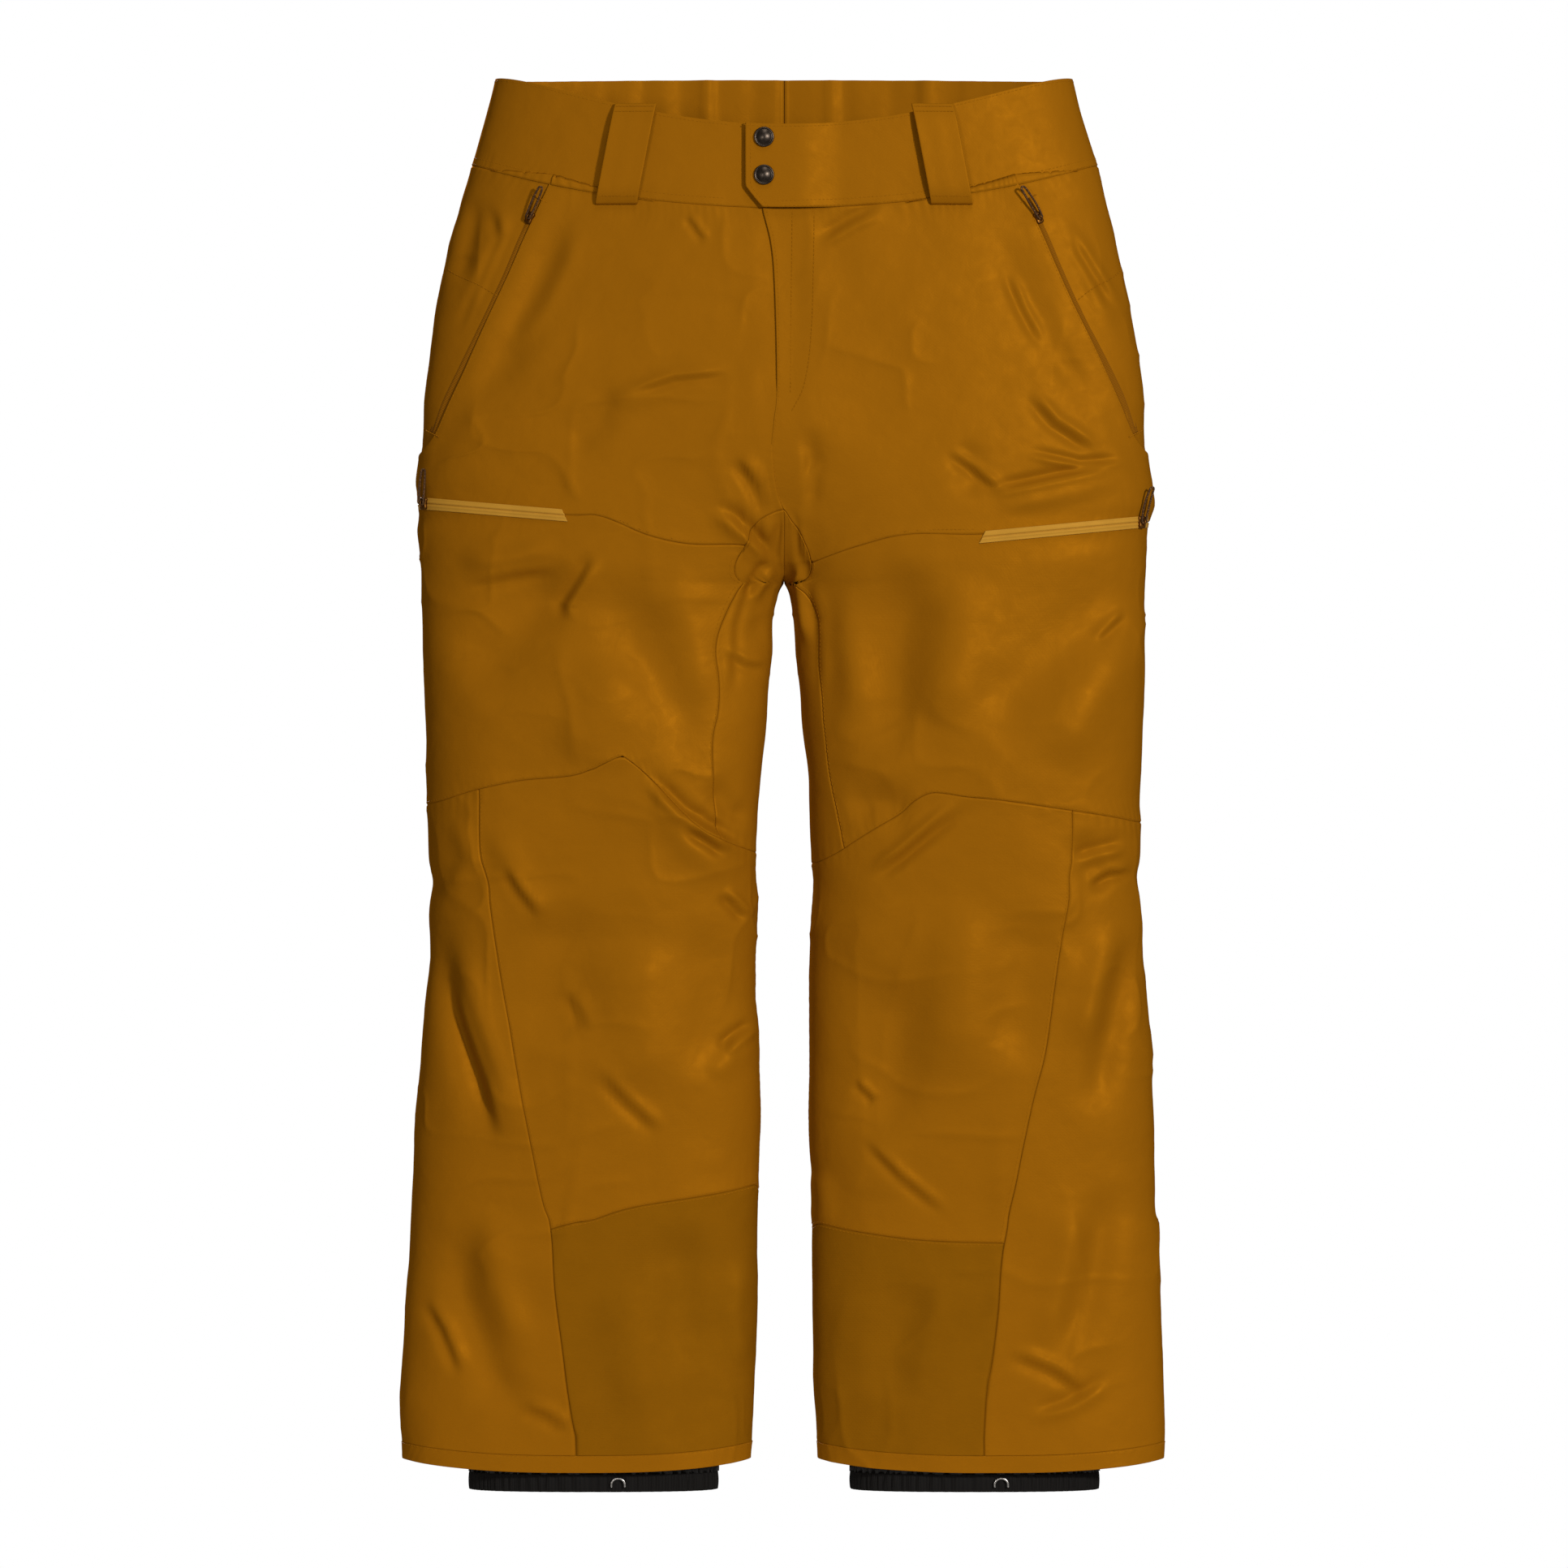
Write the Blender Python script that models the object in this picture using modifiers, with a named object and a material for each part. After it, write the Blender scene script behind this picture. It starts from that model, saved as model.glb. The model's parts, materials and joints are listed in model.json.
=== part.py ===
"""Waterproof shell snow trousers, hung by the waistband with the front towards -Y.

The origin is the middle of the waist, level with the top of the back waistband. Z is up, X is
towards the wearer's left. The cloth is built as flat-pattern pieces: every panel is one stretch of
a shared outline, so two panels that are sewn together always meet with SEAM_GAP between them.
"""

import math

import bpy
import numpy as np
from mathutils import Matrix, Vector

# ---- driving dimensions, in metres --------------------------------------------------------
CLOTH = 0.0025  # wall of a panel, face cloth with lining
SEAM_GAP = 0.0010  # between two panels that are sewn together, one above the other
SIDE_GAP = 0.0022  # between two panels that meet at the side, where both walls turn in
TOUCH_GAP = 0.0003  # between two hard pieces that touch
ROUNDNESS = 2.6  # exponent of the section: 2 is an ellipse, higher is squarer

# half outlines down the garment: (height, distance from the middle)
OUTER_EDGE = [
    (0.000, 0.226), (-0.068, 0.246), (-0.170, 0.269), (-0.290, 0.283), (-0.335, 0.287),
    (-0.394, 0.283), (-0.560, 0.279), (-0.640, 0.277), (-0.760, 0.285), (-0.900, 0.293),
    (-1.090, 0.2975),
]
INNER_EDGE = [
    (-0.394, 0.003), (-0.470, 0.010), (-0.570, 0.0195), (-0.980, 0.0200), (-1.090, 0.0245),
]
FRONT_DEPTH = [
    (0.000, 0.050), (-0.100, 0.050), (-0.300, 0.060), (-0.420, 0.060), (-0.600, 0.054),
    (-0.800, 0.050), (-1.090, 0.046),
]
BACK_DEPTH = [
    (0.000, 0.050), (-0.100, 0.054), (-0.250, 0.070), (-0.420, 0.068), (-0.600, 0.056),
    (-0.800, 0.052), (-1.090, 0.048),
]

FRONT_DIP = 0.039  # how far the front of the waist sits below the back
BAND_SIDE = 0.068  # waistband height at the side seam
BAND_FRONT_LOW = 0.104  # the band's lower seam at the middle of the front
BAND_BACK_LOW = 0.074  # and at the middle of the back
CROTCH = -0.394
KNEE_SEAM = -0.566
HEM_SIDE = -1.078  # the hem at the outer side, which sets the length of the legs
HEM_SEAM = HEM_SIDE + 0.014
SCUFF_SEAM = HEM_SIDE + 0.194
HEM_DROP = 0.010  # the hem hangs this much lower at the front and back than at the sides

LOOP_WIDTH = 0.033
LOOP_HEIGHT = 0.080
LOOP_STRAP = 0.0022
LOOP_ROOM = 0.0074  # room for a belt behind the strap
LOOP_FOOT = 0.010
LOOP_CLEAR = 0.0022  # keeps a foot's corners off the band
LOOP_LEAN = math.radians(11.0)
LOOP_X = 0.122
LOOP_FRONT_Z = -0.062
LOOP_BACK_Z = -0.038

TAB_REACH = 0.0305  # the tab's free end, past the middle
TAB_ROOT = 0.012  # its fold line, on the other side of the middle
TAB_THICK = 0.0026
TAB_POINT = 0.0145
SNAP_RADIUS = 0.0078
SNAP_DOME = 0.0032
SNAP_STUD_RADIUS = 0.0042
SNAP_ROOM = 0.0024  # between the tab and the band behind it
SNAP_X = -0.0155
SNAP_HEIGHTS = {"upper": -0.0493, "lower": -0.0786}

ZIP_TAPE = 0.0012
ZIP_WIDTH = 0.0095
SLOT_WIDTH = 0.0125
SLIDER_LENGTH = 0.0095
SLIDER_WIDTH = 0.0068
SLIDER_HEIGHT = 0.0034
PULL_CORD = 0.0011  # radius of the pull's cord
PULL_LENGTH = 0.027
FLY_PULL_LENGTH = 0.0095  # short enough to flip over behind the fly
PULL_HALF_WIDTH = 0.0021

HAND_ZIP_TOP = (0.1900, -0.0960)
HAND_ZIP_FOOT = (0.2735, -0.2780)
HAND_ZIP_FACING = (0.55, -1.0, 0.0)  # the way the cloth faces along the hand zip
SLIDER_START = 0.012  # from the top of a hand zip to its slider at rest
THIGH_ZIP_ENDS = {  # inner and outer end: (distance from the middle, height)
    "left": ((0.1525, -0.3598), (0.2825, -0.3462)),
    "right": ((0.1690, -0.3429), (0.2835, -0.3320)),
}
THIGH_ZIP_PROUD = 0.0010  # how far the tape's back stands off the cloth's circle
FLY_ZIP_TOP = -0.112
FLY_ZIP_LENGTH = 0.160
FLY_ZIP_WIDTH = 0.026
FLY_ZIP_BEHIND = 0.0200  # the fly zip sits this far behind the face of the front

GAITER_HALF_WIDTH = 0.0965
GAITER_HALF_DEPTH = 0.0360
GAITER_X = 0.149
GAITER_WALL = 0.0018
GAITER_TOP = HEM_SIDE + 0.148
GAITER_BAND_TOP = HEM_SIDE - 0.0105
GAITER_FOOT = HEM_SIDE - 0.0237
HOOK_OFFSET = 0.020  # both hooks sit this far towards +X from the gaiter's middle
HOOK_WIRE = 0.0009  # radius
HOOK_HALF_WIDTH = 0.0050

POCKET_BAGS = {  # (middle, size) of each bag on the wearer's left
    "hand": ((0.160, -0.0185, -0.200), (0.115, 0.0030, 0.190)),
    "thigh": ((0.185, -0.0300, -0.450), (0.110, 0.0030, 0.160)),
}

COLOURS = {
    "shell": (0.275, 0.095, 0.0025),
    "tape": (0.48, 0.24, 0.035),
    "cord": (0.05, 0.025, 0.012),
    "metal": (0.06, 0.05, 0.045),
    "lining": (0.25, 0.10, 0.003),
    "gaiter": (0.006, 0.006, 0.006),
    "steel": (0.45, 0.44, 0.42),
}
FINISHES = {"metal": (0.30, 1.0), "steel": (0.30, 1.0), "tape": (0.45, 0.0), "cord": (0.75, 0.0)}
CLOTH_FINISH = (0.80, 0.0)

SIDES = {"left": 1, "right": -1}


# ---- the garment's outline ----------------------------------------------------------------
def along(stations, height):
    """The value at a height, read between the stations of an outline."""
    heights = [station[0] for station in reversed(stations)]
    values = [station[1] for station in reversed(stations)]
    return float(np.interp(height, heights, values))


def section(angle, middle, half_width, front, back):
    """A point of a squared oval: angle 0 is the outer side, a quarter turn is the front."""
    power = 2.0 / ROUNDNESS
    cosine = math.cos(angle)
    sine = math.sin(angle)
    depth = front if sine > 0 else back
    x = middle + half_width * math.copysign(abs(cosine) ** power, cosine)
    y = -depth * math.copysign(abs(sine) ** power, sine)
    return x, y


def torso(angle, height):
    front = along(FRONT_DEPTH, height)
    back = along(BACK_DEPTH, height)
    return section(angle, 0.0, along(OUTER_EDGE, height), front, back)


def leg(angle, height):
    outer = along(OUTER_EDGE, height)
    inner = along(INNER_EDGE, height)
    front = along(FRONT_DEPTH, height)
    back = along(BACK_DEPTH, height)
    return section(angle, (outer + inner) / 2, (outer - inner) / 2, front, back)


def gaiter_section(angle, height):
    return section(angle, GAITER_X, GAITER_HALF_WIDTH, GAITER_HALF_DEPTH, GAITER_HALF_DEPTH)


def front_y(x, height):
    """The face of the front of the torso at a distance from the middle."""
    share = min(abs(x) / along(OUTER_EDGE, height), 1.0)
    return -along(FRONT_DEPTH, height) * (1 - share**ROUNDNESS) ** (1 / ROUNDNESS)


def band_top(angle):
    return -FRONT_DIP * max(math.sin(angle), 0.0) ** 2


def band_low(angle):
    middle = BAND_FRONT_LOW if math.sin(angle) > 0 else BAND_BACK_LOW
    return -BAND_SIDE - (middle - BAND_SIDE) * math.sin(angle) ** 2


def below_band(angle):
    return band_low(angle) - SEAM_GAP


def level(height):
    return lambda angle: height


def hem_low(angle):
    return HEM_SIDE - HEM_DROP * math.sin(angle) ** 2


def seam_angle(depth):
    """The turn that leaves half a side gap at the side of a section."""
    return (0.5 * SIDE_GAP / depth) ** (ROUNDNESS / 2)


# ---- making objects -----------------------------------------------------------------------
def clear_scene():
    for thing in list(bpy.data.objects):
        bpy.data.objects.remove(thing)


def new_collection(name, shown=True):
    made = bpy.data.collections.new(name)
    made.hide_render = not shown
    bpy.context.scene.collection.children.link(made)
    return made


def paint(thing, kind):
    roughness, metallic = FINISHES.get(kind, CLOTH_FINISH)
    finish = bpy.data.materials.new(thing.name + "_finish")
    finish.use_nodes = True
    shader = finish.node_tree.nodes["Principled BSDF"]
    shader.inputs["Base Color"].default_value = (*COLOURS[kind], 1.0)
    shader.inputs["Roughness"].default_value = roughness
    shader.inputs["Metallic"].default_value = metallic
    thing.data.materials.clear()
    thing.data.materials.append(finish)


def grid_object(name, points, group, closed=False):
    """A sheet of quads through rows of points, facing along (next column) x (next row)."""
    rows = len(points)
    columns = len(points[0])
    vertices = [point for row in points for point in row]
    steps = columns if closed else columns - 1
    faces = []
    for row in range(rows - 1):
        for column in range(steps):
            beside = (column + 1) % columns
            here = row * columns
            below = here + columns
            faces.append((here + column, here + beside, below + beside, below + column))
    mesh = bpy.data.meshes.new(name)
    mesh.from_pydata(vertices, [], faces)
    mesh.update()
    thing = bpy.data.objects.new(name, mesh)
    group.objects.link(thing)
    return thing


def thicken(thing, thickness, offset=-1.0):
    solid = thing.modifiers.new("wall", "SOLIDIFY")
    solid.thickness = thickness
    solid.offset = offset
    solid.use_even_offset = False


def mirrored(points, side):
    """The same rows on the other side of the garment, turned round so they still face out."""
    if side > 0:
        return points
    return [[(-x, y, z) for x, y, z in reversed(row)] for row in points]


def panel(name, side, place, angles, top, low, rows, columns, wall=CLOTH, kind="shell", ring=False):
    """One cloth panel: a stretch of the outline between two angles and two edges."""
    start, end = angles
    count = columns if ring else columns + 1
    points = []
    for row in range(rows + 1):
        share = row / rows
        line = []
        for column in range(count):
            angle = start + (end - start) * column / columns
            height = top(angle) + (low(angle) - top(angle)) * share
            x, y = place(angle, height)
            line.append((x, y, height))
        points.append(line)
    thing = grid_object(name, mirrored(points, side), PARTS, closed=ring)
    thicken(thing, wall)
    paint(thing, kind)
    return thing


def slab(name, centre, size, kind, turn=None, bevel=0.0, group=None):
    """A box with its size in its own axes, turned by a matrix and rounded at the edges."""
    bpy.ops.mesh.primitive_cube_add(size=1.0)
    thing = bpy.context.object
    thing.name = name
    thing.data.transform(Matrix.Diagonal((*size, 1.0)))
    rotation = turn.to_4x4() if turn else Matrix.Identity(4)
    thing.matrix_world = Matrix.Translation(centre) @ rotation
    move_to(thing, group or PARTS)
    if bevel:
        rounding = thing.modifiers.new("rounding", "BEVEL")
        rounding.width = bevel
        rounding.segments = 2
    if kind:
        paint(thing, kind)
    return thing


def move_to(thing, group):
    for owner in list(thing.users_collection):
        owner.objects.unlink(thing)
    group.objects.link(thing)


def outline_plate(name, outline, thickness, kind, placing):
    """A flat outline made solid: its points are in the plate's own X and Y."""
    curve = bpy.data.curves.new(name, "CURVE")
    curve.dimensions = "2D"
    curve.fill_mode = "BOTH"
    curve.extrude = thickness / 2
    spline = curve.splines.new("POLY")
    spline.points.add(len(outline) - 1)
    for point, place in zip(spline.points, outline):
        point.co = (place[0], place[1], 0.0, 1.0)
    spline.use_cyclic_u = True
    thing = bpy.data.objects.new(name, curve)
    PARTS.objects.link(thing)
    thing.matrix_world = placing
    paint(thing, kind)
    return thing


def tube(name, points, radius, kind, group=None):
    """A cord along straight runs between points, with filled ends."""
    curve = bpy.data.curves.new(name, "CURVE")
    curve.dimensions = "3D"
    curve.bevel_depth = radius
    curve.bevel_resolution = 2
    curve.use_fill_caps = True
    spline = curve.splines.new("POLY")
    spline.points.add(len(points) - 1)
    for point, place in zip(spline.points, points):
        point.co = (*place, 1.0)
    thing = bpy.data.objects.new(name, curve)
    (group or PARTS).objects.link(thing)
    paint(thing, kind)
    return thing


def turned(name, profile, placing, kind, steps=20):
    """A profile of (radius, height) pairs, top to bottom, turned about its own Z."""
    mesh = bpy.data.meshes.new(name)
    vertices = [(radius, 0.0, height) for radius, height in profile]
    edges = [(index, index + 1) for index in range(len(profile) - 1)]
    mesh.from_pydata(vertices, edges, [])
    thing = bpy.data.objects.new(name, mesh)
    PARTS.objects.link(thing)
    thing.matrix_world = placing
    screw = thing.modifiers.new("turning", "SCREW")
    screw.steps = steps
    screw.render_steps = steps
    screw.use_merge_vertices = True
    screw.merge_threshold = 0.00005
    screw.use_smooth_shade = True
    paint(thing, kind)
    return thing


def cut(thing, cutter):
    cutter.hide_render = True
    cutter.display_type = "WIRE"
    boolean = thing.modifiers.new("cut", "BOOLEAN")
    boolean.operation = "DIFFERENCE"
    boolean.solver = "EXACT"
    boolean.object = cutter


# ---- cloth panels -------------------------------------------------------------------------
def make_waistband():
    side = seam_angle(FRONT_DEPTH[0][1])
    quarter = math.pi / 2
    # The wearer's right end runs on under the tab; the left end stops at the tab's fold line.
    share = (TAB_ROOT + SEAM_GAP) / OUTER_EDGE[0][1]
    fold = math.acos(share ** (ROUNDNESS / 2))
    panel("waistband_front_left", 1, torso, (side, fold), band_top, band_low, 2, 9)
    panel("waistband_front_right", -1, torso, (side, quarter), band_top, band_low, 2, 9)
    back = shift_off_middle((-quarter, -side))
    for name, way in SIDES.items():
        panel(f"waistband_back_{name}", way, torso, back, band_top, band_low, 2, 9)


def shift_off_middle(angles):
    """Keeps a back or front panel half a seam gap away from the middle line."""
    start, end = angles
    trim = (0.5 * SEAM_GAP / OUTER_EDGE[0][1]) ** (ROUNDNESS / 2)
    if start < 0:
        return start + trim, end
    return start, end - trim


def make_torso_panels():
    side = seam_angle(FRONT_DEPTH[0][1])
    quarter = math.pi / 2
    front = shift_off_middle((side, quarter))
    back = shift_off_middle((-quarter, -side))
    low = level(CROTCH)
    panels = {}
    for name, way in SIDES.items():
        panels[name] = panel(f"front_panel_{name}", way, torso, front, below_band, low, 5, 12)
        panel(f"seat_panel_{name}", way, torso, back, below_band, low, 4, 10)
    return panels


def make_leg_panels():
    side = seam_angle(FRONT_DEPTH[-1][1])
    half = math.pi
    quarter = math.pi / 2
    front = (side, half - side)
    back = (half + side, 2 * half - side)
    inner = (quarter + side, 3 * quarter - side)
    outer = (-quarter + side, quarter - side)
    full = (0.0, 2 * half)
    thigh_top = level(CROTCH - SEAM_GAP)
    thigh_low = level(KNEE_SEAM)
    shin_top = level(KNEE_SEAM - SEAM_GAP)
    shin_low = level(SCUFF_SEAM)
    cuff_top = level(SCUFF_SEAM - SEAM_GAP)
    cuff_low = level(HEM_SEAM)
    hem_top = level(HEM_SEAM - SEAM_GAP)
    for name, way in SIDES.items():
        panel(f"thigh_front_{name}", way, leg, front, thigh_top, thigh_low, 2, 14)
        panel(f"thigh_back_{name}", way, leg, back, thigh_top, thigh_low, 2, 14)
        panel(f"knee_front_{name}", way, leg, front, shin_top, shin_low, 3, 14)
        panel(f"calf_back_{name}", way, leg, back, shin_top, shin_low, 3, 14)
        panel(f"scuff_guard_{name}", way, leg, inner, cuff_top, cuff_low, 1, 14)
        panel(f"cuff_outer_{name}", way, leg, outer, cuff_top, cuff_low, 1, 14)
        panel(f"hem_{name}", way, leg, full, hem_top, hem_low, 1, 28, ring=True)


def make_crotch_gusset():
    """The hourglass of cloth under the torso, between the tops of the two legs."""
    inner = along(INNER_EDGE, CROTCH)
    outer = along(OUTER_EDGE, CROTCH)
    middle = (outer + inner) / 2
    half_width = (outer - inner) / 2
    front = along(FRONT_DEPTH, CROTCH)
    back = along(BACK_DEPTH, CROTCH)
    length = 0.90  # share of the garment's depth that the gusset reaches
    steps = 12
    across = 4
    points = []
    for row in range(steps + 1):
        share = -length + 2 * length * row / steps
        depth = front if share < 0 else back
        leg_edge = middle - half_width * (1 - abs(share) ** ROUNDNESS) ** (1 / ROUNDNESS)
        height = CROTCH + 2 * SEAM_GAP + CLOTH
        spread = [leg_edge * (2 * k / across - 1) for k in range(across + 1)]
        points.append([(x, share * depth, height) for x in spread])
    gusset = grid_object("crotch_gusset", points, PARTS)
    thicken(gusset, CLOTH, offset=-1.0)
    paint(gusset, "shell")


# ---- gaiters ------------------------------------------------------------------------------
def make_gaiters():
    full = (0.0, 2 * math.pi)
    edges = {
        "gaiter": (level(GAITER_TOP), level(GAITER_BAND_TOP)),
        "gaiter_elastic": (level(GAITER_BAND_TOP - TOUCH_GAP), level(GAITER_FOOT)),
    }
    for name, way in SIDES.items():
        for part, (top, low) in edges.items():
            panel(f"{part}_{name}", way, gaiter_section, full, top, low, 1, 24,
                  wall=GAITER_WALL, kind="gaiter", ring=True)
        make_gaiter_hook(name, way * GAITER_X + HOOK_OFFSET)


def make_gaiter_hook(name, x):
    """A bent wire hook on the front of the elastic, for the boot's lace."""
    face = -GAITER_HALF_DEPTH - TOUCH_GAP - HOOK_WIRE
    half = HOOK_HALF_WIDTH
    foot = GAITER_FOOT + 0.0035
    top = GAITER_FOOT + 0.0085
    rise = 0.0020
    lean = 0.0004
    points = [(x - half, face, foot), (x - half, face, top - rise)]
    for step in range(7):
        turn = math.pi * step / 6
        forward = face - lean * step * (6 - step) / 9
        points.append((x - half * math.cos(turn), forward, top + rise * math.sin(turn)))
    points.append((x + half, face, top - rise))
    points.append((x + half, face, foot))
    tube(f"gaiter_hook_{name}", points, HOOK_WIRE, "steel")


# ---- belt loops ---------------------------------------------------------------------------
def make_belt_loop(name, x, z, front):
    """A strap held off the band by a stitched foot at each end."""
    half = LOOP_HEIGHT / 2
    foot = LOOP_FOOT
    out = LOOP_ROOM + LOOP_STRAP
    profile = [
        (0.0, half), (out, half), (out, -half), (0.0, -half), (0.0, foot - half),
        (LOOP_ROOM, foot - half), (LOOP_ROOM, half - foot), (0.0, half - foot),
    ]
    step = 0.5 * LOOP_WIDTH
    face = torso_face(x - step, z, front)
    other = torso_face(x + step, z, front)
    slant = math.atan2(other - face, 2 * step)
    # The band bulges between the strap's edges, so the feet stand off its highest point.
    bulge = torso_face(x, z, front) - (face + other) / 2
    way = -1.0 if front else 1.0
    clear = (face + other) / 2 + way * (abs(bulge) + LOOP_CLEAR)
    # The strap's top leans towards the middle.
    outwards = Vector((math.sin(slant), -math.cos(slant), 0.0)) * -way
    inwards = -math.copysign(math.sin(LOOP_LEAN), x)
    up = Vector((inwards * math.cos(slant), inwards * math.sin(slant), math.cos(LOOP_LEAN)))
    across = outwards.cross(up)
    basis = Matrix((outwards, up, across)).transposed().to_4x4()
    placing = Matrix.Translation((x, clear, z)) @ basis
    outline_plate(name, profile, LOOP_WIDTH, "shell", placing)


def torso_face(x, z, front):
    share = min(abs(x) / along(OUTER_EDGE, z), 1.0)
    stations = FRONT_DEPTH if front else BACK_DEPTH
    depth = along(stations, z) * (1 - share**ROUNDNESS) ** (1 / ROUNDNESS)
    return -depth if front else depth


def make_belt_loops():
    for name, way in SIDES.items():
        make_belt_loop(f"belt_loop_front_{name}", way * LOOP_X, LOOP_FRONT_Z, True)
        make_belt_loop(f"belt_loop_back_{name}", way * LOOP_X, LOOP_BACK_Z, False)


# ---- waist tab and snaps ------------------------------------------------------------------
def tab_back_y():
    return -FRONT_DEPTH[0][1] - SNAP_ROOM


def make_waist_tab():
    top = -FRONT_DIP - 0.0010
    low = -BAND_FRONT_LOW + 0.0005
    outline = [
        (-TAB_REACH, top), (TAB_ROOT, top), (TAB_ROOT, low),
        (-TAB_REACH + TAB_POINT, low), (-TAB_REACH, low + 1.15 * TAB_POINT),
    ]
    outline.reverse()
    upright = Matrix.Rotation(math.pi / 2, 4, "X")
    placing = Matrix.Translation((0.0, tab_back_y() - TAB_THICK / 2, 0.0)) @ upright
    outline_plate("waist_tab", outline, TAB_THICK, "shell", placing)


def make_snaps():
    face = tab_back_y() - TAB_THICK - TOUCH_GAP
    forward = Matrix.Rotation(math.pi / 2, 4, "X")
    radius = SNAP_RADIUS
    dome = SNAP_DOME
    cap = [
        (0.0, dome), (0.45 * radius, 0.93 * dome), (0.80 * radius, 0.66 * dome),
        (radius, 0.22 * dome), (radius, 0.0), (0.0, 0.0),
    ]
    stud_height = SNAP_ROOM - 2 * TOUCH_GAP
    small = SNAP_STUD_RADIUS
    stud = [
        (0.0, stud_height), (0.75 * small, stud_height), (0.80 * small, 0.35 * stud_height),
        (small, 0.25 * stud_height), (small, 0.0), (0.0, 0.0),
    ]
    for name, height in SNAP_HEIGHTS.items():
        cap_place = Matrix.Translation((SNAP_X, face, height)) @ forward
        turned(f"snap_cap_{name}", cap, cap_place, "metal", steps=24)
        stud_place = Matrix.Translation((SNAP_X, -FRONT_DEPTH[0][1] - TOUCH_GAP, height)) @ forward
        turned(f"snap_stud_{name}", stud, stud_place, "metal", steps=16)


# ---- zips ---------------------------------------------------------------------------------
def chord_frame(start, end, outwards):
    """Axes of a straight zip: along it, across it and away from the cloth."""
    run = (end - start).normalized()
    away = (outwards - run * outwards.dot(run)).normalized()
    return run, away.cross(run), away


def slider_solid(name, centre, run, across, away):
    turn = Matrix((run, across, away)).transposed()
    size = (SLIDER_LENGTH, SLIDER_WIDTH, SLIDER_HEIGHT)
    return slab(name, centre + away * SLIDER_HEIGHT / 2, size, "metal", turn, bevel=0.0008)


def pull_solid(name, pivot, run, across, reach=PULL_LENGTH):
    """A cord loop that lies along run from its pivot, doubled back on itself."""
    half = PULL_HALF_WIDTH
    straight = reach - half
    points = [pivot - across * half, pivot - across * half + run * straight]
    for step in range(1, 6):
        turn = math.pi * step / 6
        ahead = run * (straight + half * math.sin(turn))
        points.append(pivot + ahead - across * half * math.cos(turn))
    points.append(pivot + across * half + run * straight)
    points.append(pivot + across * half)
    return tube(name, points, PULL_CORD, "cord")


def make_hand_zips(panels):
    for name, way in SIDES.items():
        top = Vector((HAND_ZIP_TOP[0], front_y(*HAND_ZIP_TOP), HAND_ZIP_TOP[1]))
        foot = Vector((HAND_ZIP_FOOT[0], front_y(*HAND_ZIP_FOOT), HAND_ZIP_FOOT[1]))
        outwards = Vector(HAND_ZIP_FACING)
        top.x *= way
        foot.x *= way
        outwards.x *= way
        run, across, away = chord_frame(top, foot, outwards)
        middle = (top + foot) / 2
        length = (foot - top).length
        turn = Matrix((run, across, away)).transposed()
        slot = (length + 0.004, SLOT_WIDTH, 0.040)
        cutter = slab(f"hand_slot_{name}", middle, slot, None, turn, group=CUTTERS)
        cut(panels[name], cutter)
        tape = middle - away * (ZIP_TAPE / 2)
        slab(f"hand_zip_{name}", tape, (length, ZIP_WIDTH, ZIP_TAPE), "tape", turn)
        rest = top + run * (SLIDER_START + SLIDER_LENGTH / 2) + away * TOUCH_GAP
        slider_solid(f"hand_slider_{name}", rest, run, across, away)
        pivot = rest + away * (SLIDER_HEIGHT + TOUCH_GAP + PULL_CORD)
        pull_solid(f"hand_pull_{name}", pivot, -run, across)


def thigh_zip_circle(name):
    """Centre, radius, end angles and end heights of the arc that a thigh zip follows."""
    inner_end, outer_end = THIGH_ZIP_ENDS[name]
    inner = Vector((inner_end[0], front_y(*inner_end)))
    outer = Vector((outer_end[0], front_y(*outer_end)))
    half_way = (inner_end[0] + outer_end[0]) / 2
    height = (inner_end[1] + outer_end[1]) / 2
    top = Vector((half_way, front_y(half_way, height)))
    ax, ay, bx, by, cx, cy = *inner, *top, *outer
    twice = 2 * (ax * (by - cy) + bx * (cy - ay) + cx * (ay - by))
    a2, b2, c2 = ax * ax + ay * ay, bx * bx + by * by, cx * cx + cy * cy
    ux = a2 * (by - cy) + b2 * (cy - ay) + c2 * (ay - by)
    uy = a2 * (cx - bx) + b2 * (ax - cx) + c2 * (bx - ax)
    centre = Vector((ux / twice, uy / twice))
    radius = (inner - centre).length
    start = math.atan2(inner.y - centre.y, inner.x - centre.x)
    end = math.atan2(outer.y - centre.y, outer.x - centre.x)
    return centre, radius, start, end, inner_end[1], outer_end[1]


def thigh_zip_point(circle, share, lift, side_shift):
    """A point of the thigh zip: share along it, lift away from the cloth, shift up across it."""
    centre, radius, start, end, inner_height, outer_height = circle
    angle = start + (end - start) * share
    reach = radius + lift
    x = centre.x + reach * math.cos(angle)
    y = centre.y + reach * math.sin(angle)
    return Vector((x, y, inner_height + (outer_height - inner_height) * share + side_shift))


def thigh_ribbon(name, way, circle, lift, thickness, width, spare, group):
    steps = 12
    points = []
    for edge in (0.5, -0.5):
        line = []
        for step in range(steps + 1):
            share = -spare + (1 + 2 * spare) * step / steps
            line.append(tuple(thigh_zip_point(circle, share, lift, edge * width)))
        points.append(line)
    points = [list(reversed(row)) for row in points]
    strip = grid_object(name, mirrored(points, way), group)
    thicken(strip, thickness, offset=1.0)
    return strip


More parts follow.
